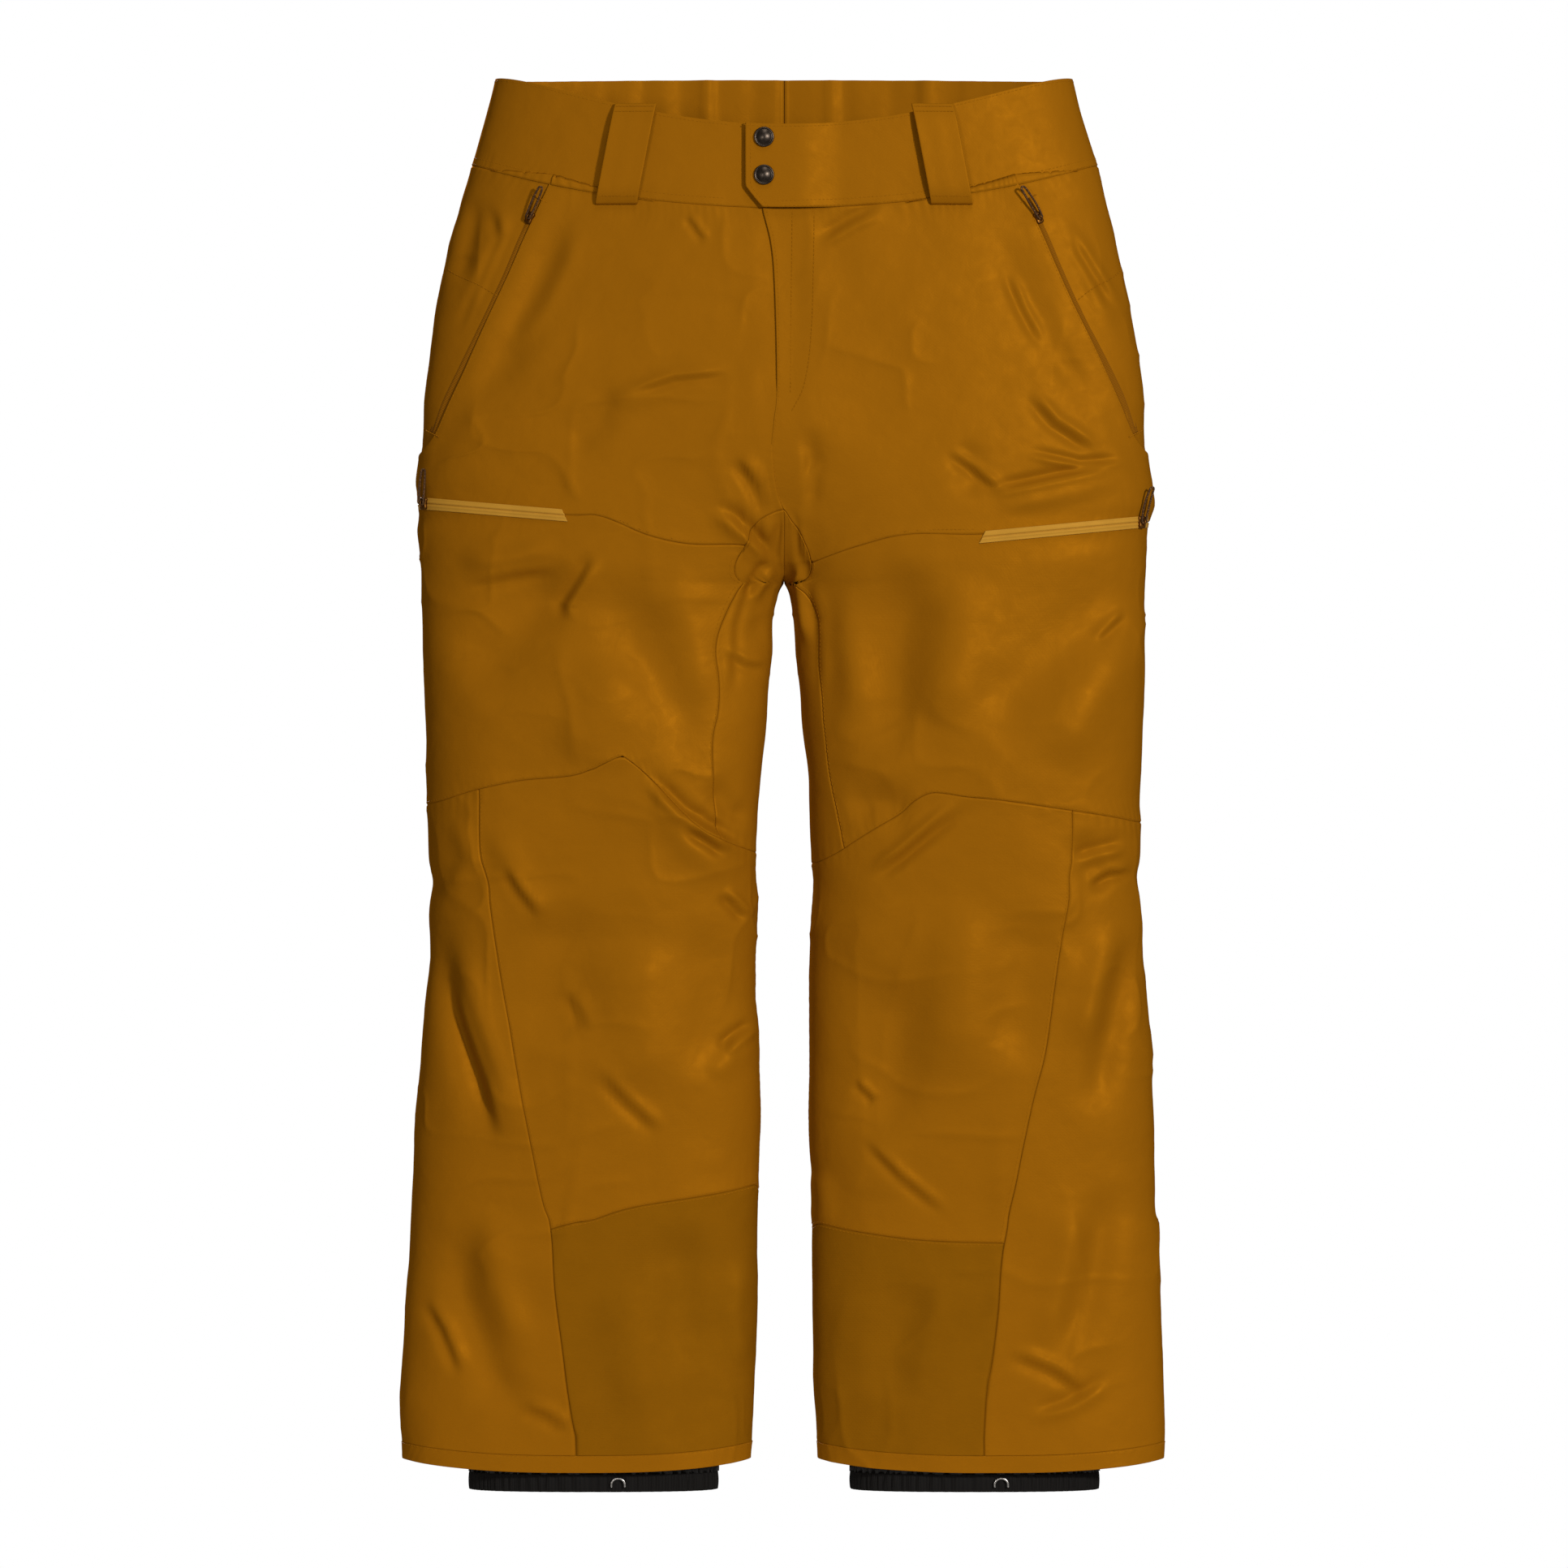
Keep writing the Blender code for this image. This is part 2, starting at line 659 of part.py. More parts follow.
def make_thigh_zips(panels):
    share = 0.95  # where the slider rests along the zip
    for name, way in SIDES.items():
        circle = thigh_zip_circle(name)
        wide = ZIP_WIDTH + 0.003
        cutter = thigh_ribbon(f"thigh_slot_{name}", way, circle, -0.012, 0.022, wide, 0.015, CUTTERS)
        cut(panels[name], cutter)
        strip = (THIGH_ZIP_PROUD, ZIP_TAPE, ZIP_WIDTH)
        tape = thigh_ribbon(f"thigh_zip_{name}", way, circle, *strip, 0.0, PARTS)
        paint(tape, "tape")
        lift = THIGH_ZIP_PROUD + ZIP_TAPE + TOUCH_GAP
        rest = thigh_zip_point(circle, share, lift, 0.0)
        ahead = thigh_zip_point(circle, share + 0.01, lift, 0.0)
        out = rest - thigh_zip_point(circle, share, lift - 0.01, 0.0)
        for vector in (rest, ahead, out):
            vector.x *= way
        run, across, away = chord_frame(rest, ahead, out)
        slider_solid(f"thigh_slider_{name}", rest, run, across, away)
        pivot = rest + away * (SLIDER_HEIGHT + TOUCH_GAP + PULL_CORD)
        upwards = Vector((0.0, 0.0, 1.0))
        upwards = (upwards - away * upwards.dot(away)).normalized()
        pull_solid(f"thigh_pull_{name}", pivot, upwards, upwards.cross(away))


def make_fly_zip():
    slope = (FRONT_DEPTH[2][1] - FRONT_DEPTH[1][1]) / (FRONT_DEPTH[1][0] - FRONT_DEPTH[2][0])
    run = Vector((0.0, -slope, -1.0)).normalized()
    face = Vector((0.0, -along(FRONT_DEPTH, FLY_ZIP_TOP) + FLY_ZIP_BEHIND, FLY_ZIP_TOP))
    away = Vector((0.0, -1.0, slope)).normalized()
    across = away.cross(run)
    turn = Matrix((run, across, away)).transposed()
    middle = face + run * FLY_ZIP_LENGTH / 2 - away * ZIP_TAPE / 2
    slab("fly_zip", middle, (FLY_ZIP_LENGTH, FLY_ZIP_WIDTH, ZIP_TAPE), "lining", turn)
    rest = face + run * (0.004 + SLIDER_LENGTH / 2) + away * TOUCH_GAP
    slider_solid("fly_slider", rest, run, across, away)
    pivot = rest + away * (SLIDER_HEIGHT + TOUCH_GAP + PULL_CORD)
    pull_solid("fly_pull", pivot, run, across, FLY_PULL_LENGTH)


# ---- pocket bags --------------------------------------------------------------------------
def make_pocket_bags():
    for name, way in SIDES.items():
        for kind, ((x, y, z), size) in POCKET_BAGS.items():
            slab(f"{kind}_pocket_bag_{name}", (way * x, y, z), size, "lining", bevel=0.001)


def main():
    make_waistband()
    panels = make_torso_panels()
    make_leg_panels()
    make_crotch_gusset()
    make_gaiters()
    make_belt_loops()
    make_waist_tab()
    make_snaps()
    make_hand_zips(panels)
    make_thigh_zips(panels)
    make_fly_zip()
    make_pocket_bags()


clear_scene()
PARTS = new_collection("snow_trousers")
CUTTERS = new_collection("cutters", shown=False)
main()
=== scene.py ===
"""Waterproof snow trousers: the cloth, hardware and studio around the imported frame.

One half of the garment is a surface of two numbers, a turn round the body and a height. Every
cloth panel is a stretch of that surface, so panels that are sewn together share their edge.
"""

import json
import math
from itertools import product

import bmesh
import bpy
import numpy as np
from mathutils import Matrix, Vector


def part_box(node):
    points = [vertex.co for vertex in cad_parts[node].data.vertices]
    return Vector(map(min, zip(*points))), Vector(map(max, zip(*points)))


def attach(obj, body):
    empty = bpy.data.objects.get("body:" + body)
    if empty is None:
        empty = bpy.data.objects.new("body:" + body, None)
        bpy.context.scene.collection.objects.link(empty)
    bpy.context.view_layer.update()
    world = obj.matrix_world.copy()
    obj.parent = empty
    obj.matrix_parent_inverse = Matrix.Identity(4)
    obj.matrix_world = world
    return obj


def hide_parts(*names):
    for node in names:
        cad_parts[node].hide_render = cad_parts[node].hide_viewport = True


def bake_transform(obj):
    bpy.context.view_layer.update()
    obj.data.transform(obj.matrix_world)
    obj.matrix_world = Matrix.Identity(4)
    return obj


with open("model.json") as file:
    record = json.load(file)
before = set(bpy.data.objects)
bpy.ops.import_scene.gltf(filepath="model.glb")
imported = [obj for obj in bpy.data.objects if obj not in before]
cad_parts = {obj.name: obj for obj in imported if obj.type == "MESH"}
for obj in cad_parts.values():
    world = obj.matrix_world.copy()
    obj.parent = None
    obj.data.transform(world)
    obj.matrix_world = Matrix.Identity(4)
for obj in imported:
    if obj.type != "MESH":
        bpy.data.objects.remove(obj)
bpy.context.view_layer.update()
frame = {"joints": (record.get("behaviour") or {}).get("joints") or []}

bl_info = {
    "name": "Snow trousers",
    "version": (1, 0, 0),
    "blender": (4, 5, 0),
    "location": "View3D > Sidebar > Trousers",
    "description": "Builds the sewn panels, zips, snaps and gaiters of a pair of snow trousers",
    "category": "Object",
}

MM = 0.001
SIDES = {"left": 1, "right": -1}

# ---- the outline, in millimetres ----------------------------------------------------------
# (height, distance from the middle) down the outer edge of the wearer's left and right side
OUTER = {
    1: [(0, 226), (-27, 233), (-52, 240.7), (-78, 248.3), (-103, 255.3), (-128, 261.6),
        (-154, 266.7),
        (-179, 271.1), (-205, 275), (-230, 278.1), (-255, 280.7), (-281, 281.9), (-306, 285.8),
        (-323, 288), (-334, 289), (-345, 285), (-357, 283.8), (-408, 281.9), (-458, 281.3),
        (-509, 281.3), (-548, 279.5), (-560, 278.8), (-590, 278.4), (-611, 277.5), (-622, 275.5),
        (-640, 278), (-662, 279.4), (-713, 282.6), (-763, 286.4), (-814, 289.6), (-865, 290.8),
        (-886, 291), (-896, 293), (-916, 293.4), (-966, 294.6), (-1017, 296.5), (-1068, 297.8),
        (-1090, 297.5)],
    -1: [(0, 225.4), (-27, 232.4), (-52, 239.4), (-78, 247), (-103, 254), (-128, 261),
         (-154, 266.7),
         (-179, 271.8), (-205, 275), (-230, 277.5), (-255, 280.7), (-281, 282.6), (-294, 284.5),
         (-306, 286.4), (-331, 285.8), (-357, 284.5), (-408, 282.6), (-458, 281.9), (-509, 280.7),
         (-560, 279.4), (-590, 278.5), (-611, 277.5), (-627, 274.9), (-645, 277.5), (-670, 279.2),
         (-713, 281.3), (-763, 284.5), (-814, 288.3), (-865, 290.8), (-916, 293.4), (-966, 295.9),
         (-1017, 298.5), (-1068, 297.2), (-1090, 297)],
}
# the same down the inside of each leg, from the crotch
INNER = {
    1: [(-394, 0), (-400, 3.2), (-408, 5.1), (-458, 10.2), (-509, 14.6), (-548, 18.5),
        (-560, 19), (-611, 21.6),
        (-624, 22.8), (-662, 20.3), (-713, 18.4), (-763, 18.8), (-840, 19.4), (-855, 20.8),
        (-916, 21), (-966, 21),
        (-1017, 22.2), (-1068, 24.8), (-1090, 25.5)],
    -1: [(-394, 0), (-400, 3.2), (-408, 5.1), (-458, 10.2), (-509, 14), (-548, 17.8), (-560, 19),
         (-611, 21.6),
         (-662, 20.3), (-720, 20.8), (-740, 18.8), (-763, 18.6), (-814, 17.8), (-835, 18.6),
         (-916, 20.3),
         (-966, 19.7), (-1017, 21.6), (-1068, 24.1), (-1090, 25)],
}
FRONT_DEPTH = [(20, 50), (0, 50), (-100, 50), (-200, 55), (-300, 60), (-420, 60), (-600, 54),
               (-800, 50), (-1090, 46)]
BACK_DEPTH = [(20, 50), (0, 50), (-100, 54), (-250, 70), (-420, 68), (-600, 56), (-800, 52),
              (-1090, 48)]
ROUNDNESS = 2.6  # of every section: 2 is an ellipse, and more is squarer
CROTCH = -0.394
HOLLOW_TOP = -0.255  # the front starts to turn under at this height
HOLLOW_TURN = 0.07  # how far round from the middle the turning under reaches
LEG_START, LEG_END = -0.372, -0.505  # the torso's section turns into the leg's between these

# walls of cloth, in metres
CLOTH_WALL, BAND_WALL, TAB_WALL, LOOP_WALL, GAITER_WALL = 0.0011, 0.0022, 0.0024, 0.0020, 0.0009


def smooth(share):
    """3t^2 - 2t^3 of a share held between 0 and 1."""
    t = np.clip(share, 0.0, 1.0)
    return t * t * (3 - 2 * t)


def outline(table, height):
    """A cubic through the table's values, read at heights in metres, as metres."""
    knots = np.array(table, float)[::-1] * MM
    slope = np.gradient(knots[:, 1], knots[:, 0])
    z = np.clip(height, knots[0, 0], knots[-1, 0])
    index = np.clip(np.searchsorted(knots[:, 0], z) - 1, 0, len(knots) - 2)
    low, high = knots[index], knots[index + 1]
    gap = high[..., 0] - low[..., 0]
    t = (z - low[..., 0]) / gap
    a, b = slope[index] * gap, slope[index + 1] * gap
    return (
        low[..., 1] * (1 + 2 * t) * (1 - t) ** 2 + a * t * (1 - t) ** 2
        + high[..., 1] * t * t * (3 - 2 * t) - b * t * t * (1 - t)
    )


def signed_power(value, power=2.0 / ROUNDNESS):
    """sign(v) |v|^p, which squares an oval: p is 2 / n for a roundness of n."""
    return np.sign(value) * np.abs(value) ** power


def leg_share(turn, height):
    """How far the section has gone from torso to leg: fully at the inside seam below the
    crotch, where 1 - sqrt(1 - t^2) rounds the seam under, and by smooth(height) elsewhere."""
    t = np.clip((HOLLOW_TOP - height) / (HOLLOW_TOP - CROTCH), 0, 1)
    inside = 1 - np.sqrt(1 - t * t)
    wide = smooth((LEG_START - height) / (LEG_START - LEG_END))
    near = np.exp(-((turn / HOLLOW_TURN) ** 2)) + np.exp(-(((1 - turn) / HOLLOW_TURN) ** 2))
    return wide + (inside - wide) * near


def plain_surface(turn, height, way):
    """x, y, z of the unwrinkled half garment. Turn 0 is the middle of the front, or the inside
    of a leg, 0.5 the outer side and 1 the middle of the back: x = a cos^(2/n), y = b sin^(2/n)."""
    outer = outline(OUTER[way], height)
    inner = np.where(height > CROTCH, 0.0, outline(INNER[way], height))
    front, back = outline(FRONT_DEPTH, height), outline(BACK_DEPTH, height)
    torso, leg = (0.5 - turn) * np.pi, (1.0 - 2.0 * turn) * np.pi
    share = leg_share(turn, height)
    torso_depth = np.where(np.sin(torso) > 0, front, back)
    leg_depth = np.where(np.sin(leg) > 0, front, back)
    middle, half = (outer + inner) / 2, (outer - inner) / 2
    x_leg = middle + half * signed_power(np.cos(leg))
    x = (1 - share) * outer * signed_power(np.cos(torso)) + share * x_leg
    y_torso = -torso_depth * signed_power(np.sin(torso))
    y = (1 - share) * y_torso - share * leg_depth * signed_power(np.sin(leg))
    return np.stack(np.broadcast_arrays(way * x, y, height), -1)


SLOPE_STEP = 0.002  # how far apart the points lie that a slope is measured from


def outward(turn, height, way):
    """Unit normals: the cross product of the two slopes of the surface."""
    d = SLOPE_STEP
    along = plain_surface(turn + d, height, way) - plain_surface(turn - d, height, way)
    down = plain_surface(turn, height - d, way) - plain_surface(turn, height + d, way)
    normal = np.cross(down, along) * way
    return normal / np.linalg.norm(normal, axis=-1, keepdims=True)


BEHIND_SIDE = 0.45  # the front's folds fade out over this share of a section's half depth


def frontness(turn, height):
    """1 over the front, 0 over the back, turning smoothly behind the side."""
    share = leg_share(turn, height)
    facing = (1 - share) * np.sin((0.5 - turn) * np.pi) + share * np.sin((1 - 2 * turn) * np.pi)
    return smooth((facing + BEHIND_SIDE) / BEHIND_SIDE)


HALVINGS = 34


def turn_at(x, height, way, back=False):
    """The turn whose x is the given one, by halving: x grows with turn on the front."""
    x, height = np.broadcast_arrays(np.asarray(x, float) * way, np.asarray(height, float))
    low = np.full(x.shape, 0.5 if back else -0.10)
    high = np.full(x.shape, 1.0 if back else 0.5)
    for _ in range(HALVINGS):
        middle = (low + high) / 2
        inside = plain_surface(middle, height, way)[..., 0] * way < x
        inside = ~inside if back else inside
        low, high = np.where(inside, middle, low), np.where(inside, high, middle)
    return (low + high) / 2


# large numbers without common factors, so that neighbouring corners get unrelated values
HASH_WAVES, HASH_SEED, HASH_GAIN = np.array([127.1, 311.7, 74.7]), 17.3, 43758.5453


def value_noise(points, size, seed):
    """Values between -1 and 1 at the corners of cubes of a size, from the fraction of a large
    sine of the corner's place and the seed, blended by 6t^5 - 15t^4 + 10t^3."""
    cell = points / size
    corner = np.floor(cell)
    t = cell - corner
    t = t * t * t * (t * (t * 6 - 15) + 10)
    total = np.zeros(points.shape[:-1])
    for offset in np.ndindex(2, 2, 2):
        place = corner + offset
        mixed = np.sin(place @ HASH_WAVES + seed * HASH_SEED) * HASH_GAIN
        weight = np.prod(np.where(offset, t, 1 - t), axis=-1)
        total += weight * (2 * (mixed - np.floor(mixed)) - 1)
    return total


# ---- designed folds -----------------------------------------------------------------------
# (shape, height in mm, half width in mm, path). A ridge is a bell across its path, a crease
# is up on the left of its path and down on the right.
FRONT_FOLDS = [
    ("ridge", -1.5, 2.8, [(-5.5, -314.5), (-3, -346), (-6.5, -371), (-2.5, -394)]),
    ("ridge", -0.9, 2.4, [(-27.5, -356), (-15, -366), (-5, -380)]),
    ("ridge", -0.9, 2.6, [(2.5, -321), (9.5, -349), (11.5, -381.5)]),
    ("ridge", 0.8, 5.0, [(-14, -314.5), (-12, -346), (-16.5, -368.5)]),
    ("crease", 0.8, 4.0, [(1.5, -270.5), (5.5, -302), (4, -333.5)]),
    ("crease", 0.8, 4.0, [(27.5, -295.5), (12, -321), (5.5, -346)]),
    ("crease", 0.8, 5.0, [(15, -384), (27.5, -421.5), (29, -484.5)]),
    ("crease", -0.8, 5.0, [(-26, -384), (-38.5, -428), (-41.5, -484.5)]),
    # hips and pockets
    ("ridge", -2.6, 16, [(-167.5, -100.5), (-185, -151), (-210, -207.5), (-239.5, -258)]),
    ("ridge", 1.4, 9, [(-157.5, -108), (-167.5, -144.5), (-185, -177.5), (-214.5, -220)]),
    ("crease", 1.6, 6, [(-230.5, -94.5), (-217.5, -126), (-236.5, -170), (-252.5, -207.5)]),
    ("ridge", 2.2, 9, [(-205, -100.5), (-230.5, -151), (-249, -195)]),
    ("ridge", -2.0, 8, [(-239.5, -91), (-246, -132), (-255.5, -163.5)]),
    ("ridge", -1.8, 12, [(161, -112), (178.5, -157.5), (210, -214), (241.5, -258)]),
    ("crease", 1.1, 5, [(172.5, -151), (186, -182.5), (202.5, -212.5)]),
    ("ridge", 1.5, 9, [(210, -100.5), (229, -151), (255.5, -207.5)]),
    ("crease", 1.2, 5, [(222.5, -119.5), (241.5, -151), (261.5, -182.5)]),
    ("crease", 1.6, 6, [(188, -245.5), (210, -270.5), (245, -293)]),
    ("ridge", 1.6, 12, [(-145.5, -270.5), (-123.5, -253), (-92, -238), (-38.5, -233)]),
    ("crease", 1.2, 4.5, [(-123.5, -249), (-85.5, -236.5), (-38.5, -232)]),
    ("crease", -1.4, 6, [(24.5, -132), (53, -114.5), (78, -103)]),
    ("ridge", -1.6, 14, [(-173.5, -295.5), (-145.5, -270.5), (-129.5, -239)]),
    ("crease", 0.8, 4, [(-76, -108), (-66.5, -122.5), (-59, -132)]),
    # seat to thigh, wearer's left
    ("crease", -1.8, 5, [(153.5, -325.5), (204, -314.5), (260.5, -302)]),
    ("crease", 1.4, 5, [(125, -291.5), (147, -307), (172.5, -328.5)]),
    ("ridge", 1.6, 9, [(160, -338.5), (204, -328.5), (267, -311.5)]),
    ("crease", -1.2, 4, [(185, -293), (229, -302), (267, -299.5)]),
    ("ridge", -1.5, 10, [(134.5, -283), (147, -308.5), (141, -333.5)]),
    # crotch
    ("crease", -2.6, 6, [(-54, -333.5), (-29, -355.5), (-7, -377.5)]),
    ("crease", 2.2, 6, [(-38.5, -295.5), (-19.5, -321), (-7, -346)]),
    ("ridge", -2.2, 10, [(12, -270.5), (21.5, -302), (15, -346)]),
    ("ridge", 1.8, 8, [(4, -283), (9, -321), (5.5, -352.5)]),
    ("crease", 2.4, 5, [(-7, -379), (-16.5, -386.5), (-26, -409)]),
    ("crease", -2.0, 5, [(7.5, -366), (14, -384), (19, -421.5), (21.5, -446.5)]),
    ("ridge", 1.8, 6, [(12, -377.5), (19, -409), (22.5, -446.5)]),
    ("ridge", -1.6, 9, [(-19.5, -384), (-15, -421.5), (-26, -446.5)]),
    ("crease", 1.2, 5, [(-48, -446.5), (-29, -457), (-11.5, -459.5)]),
    # thighs
    ("ridge", -4.4, 26, [(-255.5, -478), (-217.5, -446.5), (-192.5, -409), (-164, -377.5)]),
    ("ridge", 3.0, 24, [(-167.5, -541), (-142, -497), (-129.5, -446.5)]),
    ("crease", 2.0, 6, [(-145.5, -371), (-158, -393.5), (-170.5, -412), (-169, -426.5)]),
    ("ridge", 2.2, 10, [(-255.5, -377.5), (-217.5, -377.5), (-173.5, -368)]),
    ("crease", 1.0, 5, [(-249, -397.5), (-211.5, -389), (-173.5, -384)]),
    ("ridge", -3.0, 22, [(-142, -384), (-110.5, -446.5), (-79.5, -497), (-66.5, -547.5)]),
    ("ridge", 2.2, 18, [(-92, -384), (-73, -434), (-60.5, -497)]),
    ("ridge", -4.8, 24, [(97, -371), (89.5, -421.5), (87.5, -484.5), (78, -541)]),
    ("ridge", 3.2, 24, [(141, -384), (134.5, -446.5), (116, -509.5)]),
    ("ridge", -3.4, 24, [(270, -377.5), (229, -428), (178.5, -478), (147, -535)]),
    ("ridge", 2.6, 20, [(273, -434), (235.5, -484.5), (210, -541)]),
    ("crease", 1.2, 5, [(241.5, -441.5), (255.5, -428), (268, -416.5)]),
    ("ridge", 2.0, 12, [(46.5, -396.5), (51.5, -446.5), (58, -509.5)]),
    # knees
    ("crease", -2.4, 6, [(-110.5, -541), (-79.5, -572.5), (-41.5, -595), (-26, -604)]),
    ("crease", 1.8, 5, [(-79.5, -582.5), (-60.5, -594), (-44.5, -605.5)]),
    ("crease", 2.0, 5, [(-49, -634), (-38.5, -644.5), (-27.5, -657)]),
    ("ridge", 2.2, 12, [(-104.5, -553.5), (-73, -597.5), (-35, -629)]),
    ("ridge", -2.4, 10, [(-60.5, -547.5), (-41.5, -572.5), (-22.5, -579)]),
    ("crease", 2.2, 6, [(65.5, -623), (90.5, -605.5), (116, -584), (141, -563)]),
    ("ridge", -2.2, 14, [(46.5, -572.5), (71.5, -563), (103, -579)]),
    ("crease", 1.4, 5, [(-217.5, -613.5), (-205, -634), (-187.5, -655.5)]),
    ("ridge", 1.8, 12, [(-230.5, -579), (-205, -623), (-173.5, -667)]),
    ("ridge", -2.4, 12, [(229, -585), (238.5, -616.5), (257.5, -635.5)]),
    ("crease", -1.6, 5, [(222.5, -610.5), (241.5, -604), (267, -597.5)]),
    ("crease", 1.6, 5, [(235.5, -630.5), (254, -620), (272, -618)]),
    ("ridge", 1.6, 8, [(-255.5, -572.5), (-243, -610.5), (-265, -642)]),
    # shins
    ("ridge", -4.2, 14, [(-272.5, -648), (-268, -686), (-254, -736), (-236.5, -786.5),
                         (-227, -837)]),
    ("ridge", 3.2, 12, [(-255.5, -667), (-243, -717.5), (-222.5, -774), (-205, -837)]),
    ("crease", 2.0, 6, [(-263, -698.5), (-249, -742.5), (-230.5, -793), (-219, -830.5)]),
    ("ridge", -3.6, 13, [(272, -654.5), (265.5, -698.5), (251, -755), (241.5, -811.5)]),
    ("ridge", 2.8, 12, [(259, -654.5), (241.5, -711), (232, -761.5)]),
    ("ridge", -3.4, 30, [(-167.5, -635.5), (-173.5, -698.5), (-189.5, -761.5)]),
    ("ridge", 3.0, 28, [(-117, -667), (-110.5, -736), (-104.5, -799)]),
    ("ridge", -3.0, 26, [(-60.5, -648), (-54, -717.5), (-60.5, -786.5)]),
    ("crease", 1.6, 5, [(-167.5, -709.5), (-158.5, -728.5), (-151, -746)]),
    ("crease", 1.6, 6, [(-145.5, -772.5), (-120, -799), (-93, -823)]),
    ("crease", -1.8, 5, [(-49, -760), (-36.5, -748.5), (-20, -737.5)]),
    ("ridge", 1.8, 10, [(-60.5, -780), (-38.5, -761.5), (-17.5, -752)]),
    ("ridge", -4.2, 26, [(87.5, -686), (84.5, -761.5), (81, -837)]),
    ("ridge", 3.4, 26, [(134.5, -635.5), (138, -711), (134.5, -786.5)]),
    ("ridge", -3.2, 24, [(191.5, -635.5), (185, -711), (172.5, -780)]),
    ("crease", 1.3, 4, [(54, -781.5), (63, -790.5), (71.5, -799)]),
    ("crease", 1.3, 5, [(59, -824), (90.5, -855.5), (128.5, -887)]),
    ("ridge", 1.6, 9, [(27.5, -849.5), (31, -881), (27.5, -899.5)]),
    # scuff guards and hems
    ("ridge", -3.4, 22, [(-85.5, -887), (-76, -950), (-73, -1013)]),
    ("ridge", 2.6, 20, [(-129.5, -925), (-117, -988), (-110.5, -1050.5)]),
    ("ridge", -3.4, 16, [(-255.5, -887), (-249, -950), (-224, -1013), (-192.5, -1050.5)]),
    ("ridge", 2.8, 14, [(-230.5, -874.5), (-222.5, -937.5), (-199, -1000.5)]),
    ("ridge", -2.6, 18, [(97, -925), (90.5, -988), (78, -1038)]),
    ("crease", 1.6, 6, [(-205, -1035), (-186, -1039.5), (-166, -1053.5)]),
    ("crease", 1.6, 6, [(-280.5, -950), (-265, -975), (-249, -1013)]),
    ("ridge", -3.2, 16, [(254, -855.5), (241.5, -925), (216.5, -1000.5)]),
    ("ridge", 2.6, 14, [(229, -874.5), (216.5, -937.5), (200.5, -994)]),
    ("crease", 1.8, 6, [(172.5, -991), (210, -1006.5), (238.5, -1025.5)]),
    ("crease", -1.6, 6, [(191.5, -1041.5), (222.5, -1032), (254, -1013)]),
    ("ridge", 2.0, 10, [(-29, -912.5), (-38.5, -962.5), (-32, -1013)]),
]
BACK_FOLDS = [
    ("ridge", 2.4, 16, [(30, -330), (90, -350), (150, -345)]),
    ("crease", 1.8, 7, [(20, -372), (80, -392), (150, -388)]),
    ("ridge", 2.2, 16, [(-30, -325), (-95, -348), (-160, -350)]),
    ("crease", -1.8, 7, [(-22, -370), (-90, -396), (-160, -380)]),
    ("ridge", -3.4, 26, [(70, -420), (90, -500), (95, -560)]),
    ("ridge", 3.0, 24, [(150, -410), (160, -480), (150, -540)]),
    ("ridge", -3.2, 26, [(-80, -425), (-100, -500), (-100, -555)]),
    ("ridge", 3.0, 24, [(-160, -400), (-165, -480), (-158, -545)]),
    ("crease", 2.2, 7, [(40, -548), (110, -560), (190, -550)]),
    ("crease", -2.2, 7, [(40, -590), (120, -600), (200, -585)]),
    ("crease", -2.2, 7, [(-45, -552), (-120, -562), (-200, -546)]),
    ("crease", 2.2, 7, [(-45, -592), (-120, -604), (-205, -590)]),
    ("ridge", -3.6, 28, [(100, -640), (110, -760), (105, -880)]),
    ("ridge", 3.0, 26, [(200, -660), (205, -780), (215, -900)]),
    ("ridge", -3.6, 28, [(-105, -650), (-100, -770), (-110, -890)]),
    ("ridge", 3.0, 26, [(-195, -640), (-210, -790), (-220, -920)]),
    ("ridge", -3.0, 22, [(150, -900), (160, -980), (150, -1050)]),
    ("ridge", -3.0, 22, [(-150, -890), (-155, -980), (-165, -1050)]),
    ("crease", 1.8, 7, [(240, -300), (190, -330), (150, -345)]),
    ("crease", -1.8, 7, [(-240, -300), (-190, -330), (-150, -345)]),
    ("ridge", -2.6, 24, [(110, -140), (120, -220), (110, -290)]),
    ("ridge", -2.6, 24, [(-115, -150), (-120, -220), (-112, -300)]),
]
# no folds within this many millimetres of hardware and seams that have to lie flat
QUIET = [
    (9, [(14, -36), (-31, -36), (-31, -98), (-10, -98)]),
    (9, [(122, -20), (122, -98)]),
    (9, [(-122, -20), (-122, -98)]),
    (7, [(190, -96), (273.5, -278), (281, -300)]),
    (7, [(-190, -96), (-273.5, -278), (-281, -300)]),
    (8, [(152, -360), (282.5, -346)]),
    (8, [(-169, -343), (-283.5, -332)]),
    (9, [(0, -100), (-3, -250), (0, -330)]),
]
QUIET_FADE = 16  # millimetres over which the folds come back
FOLD_TAPER = 0.3  # share of a fold's path over which it rises at each end
FAR_OFF = 9.0  # a bell is nought this many widths away
# layers of noise: height in mm, size of a cell in metres, stretch along x, y and z, seed
ROLLS = [(1.875, 0.085, (1, 1, 0.6), 1), (0.6875, 0.034, (1, 1, 1), 2)]
CRUMPLE = [(0.16, 0.013, (1, 1, 1), 3), (0.07, 0.006, (1, 1, 1), 4)]
CREASES = [(1.4, 0.066, (1, 1, 0.55), 23), (1.1, 0.040, (0.6, 1, 1), 24)]
CREASE_WIDTH = 0.13  # of the noise's height
CREASE_BEND = 0.012  # metres by which slow noise bends the creases
BAND_CALM, BAND_CREASES = 0.25, 0.35  # shares of rolls and creases that the waistband keeps


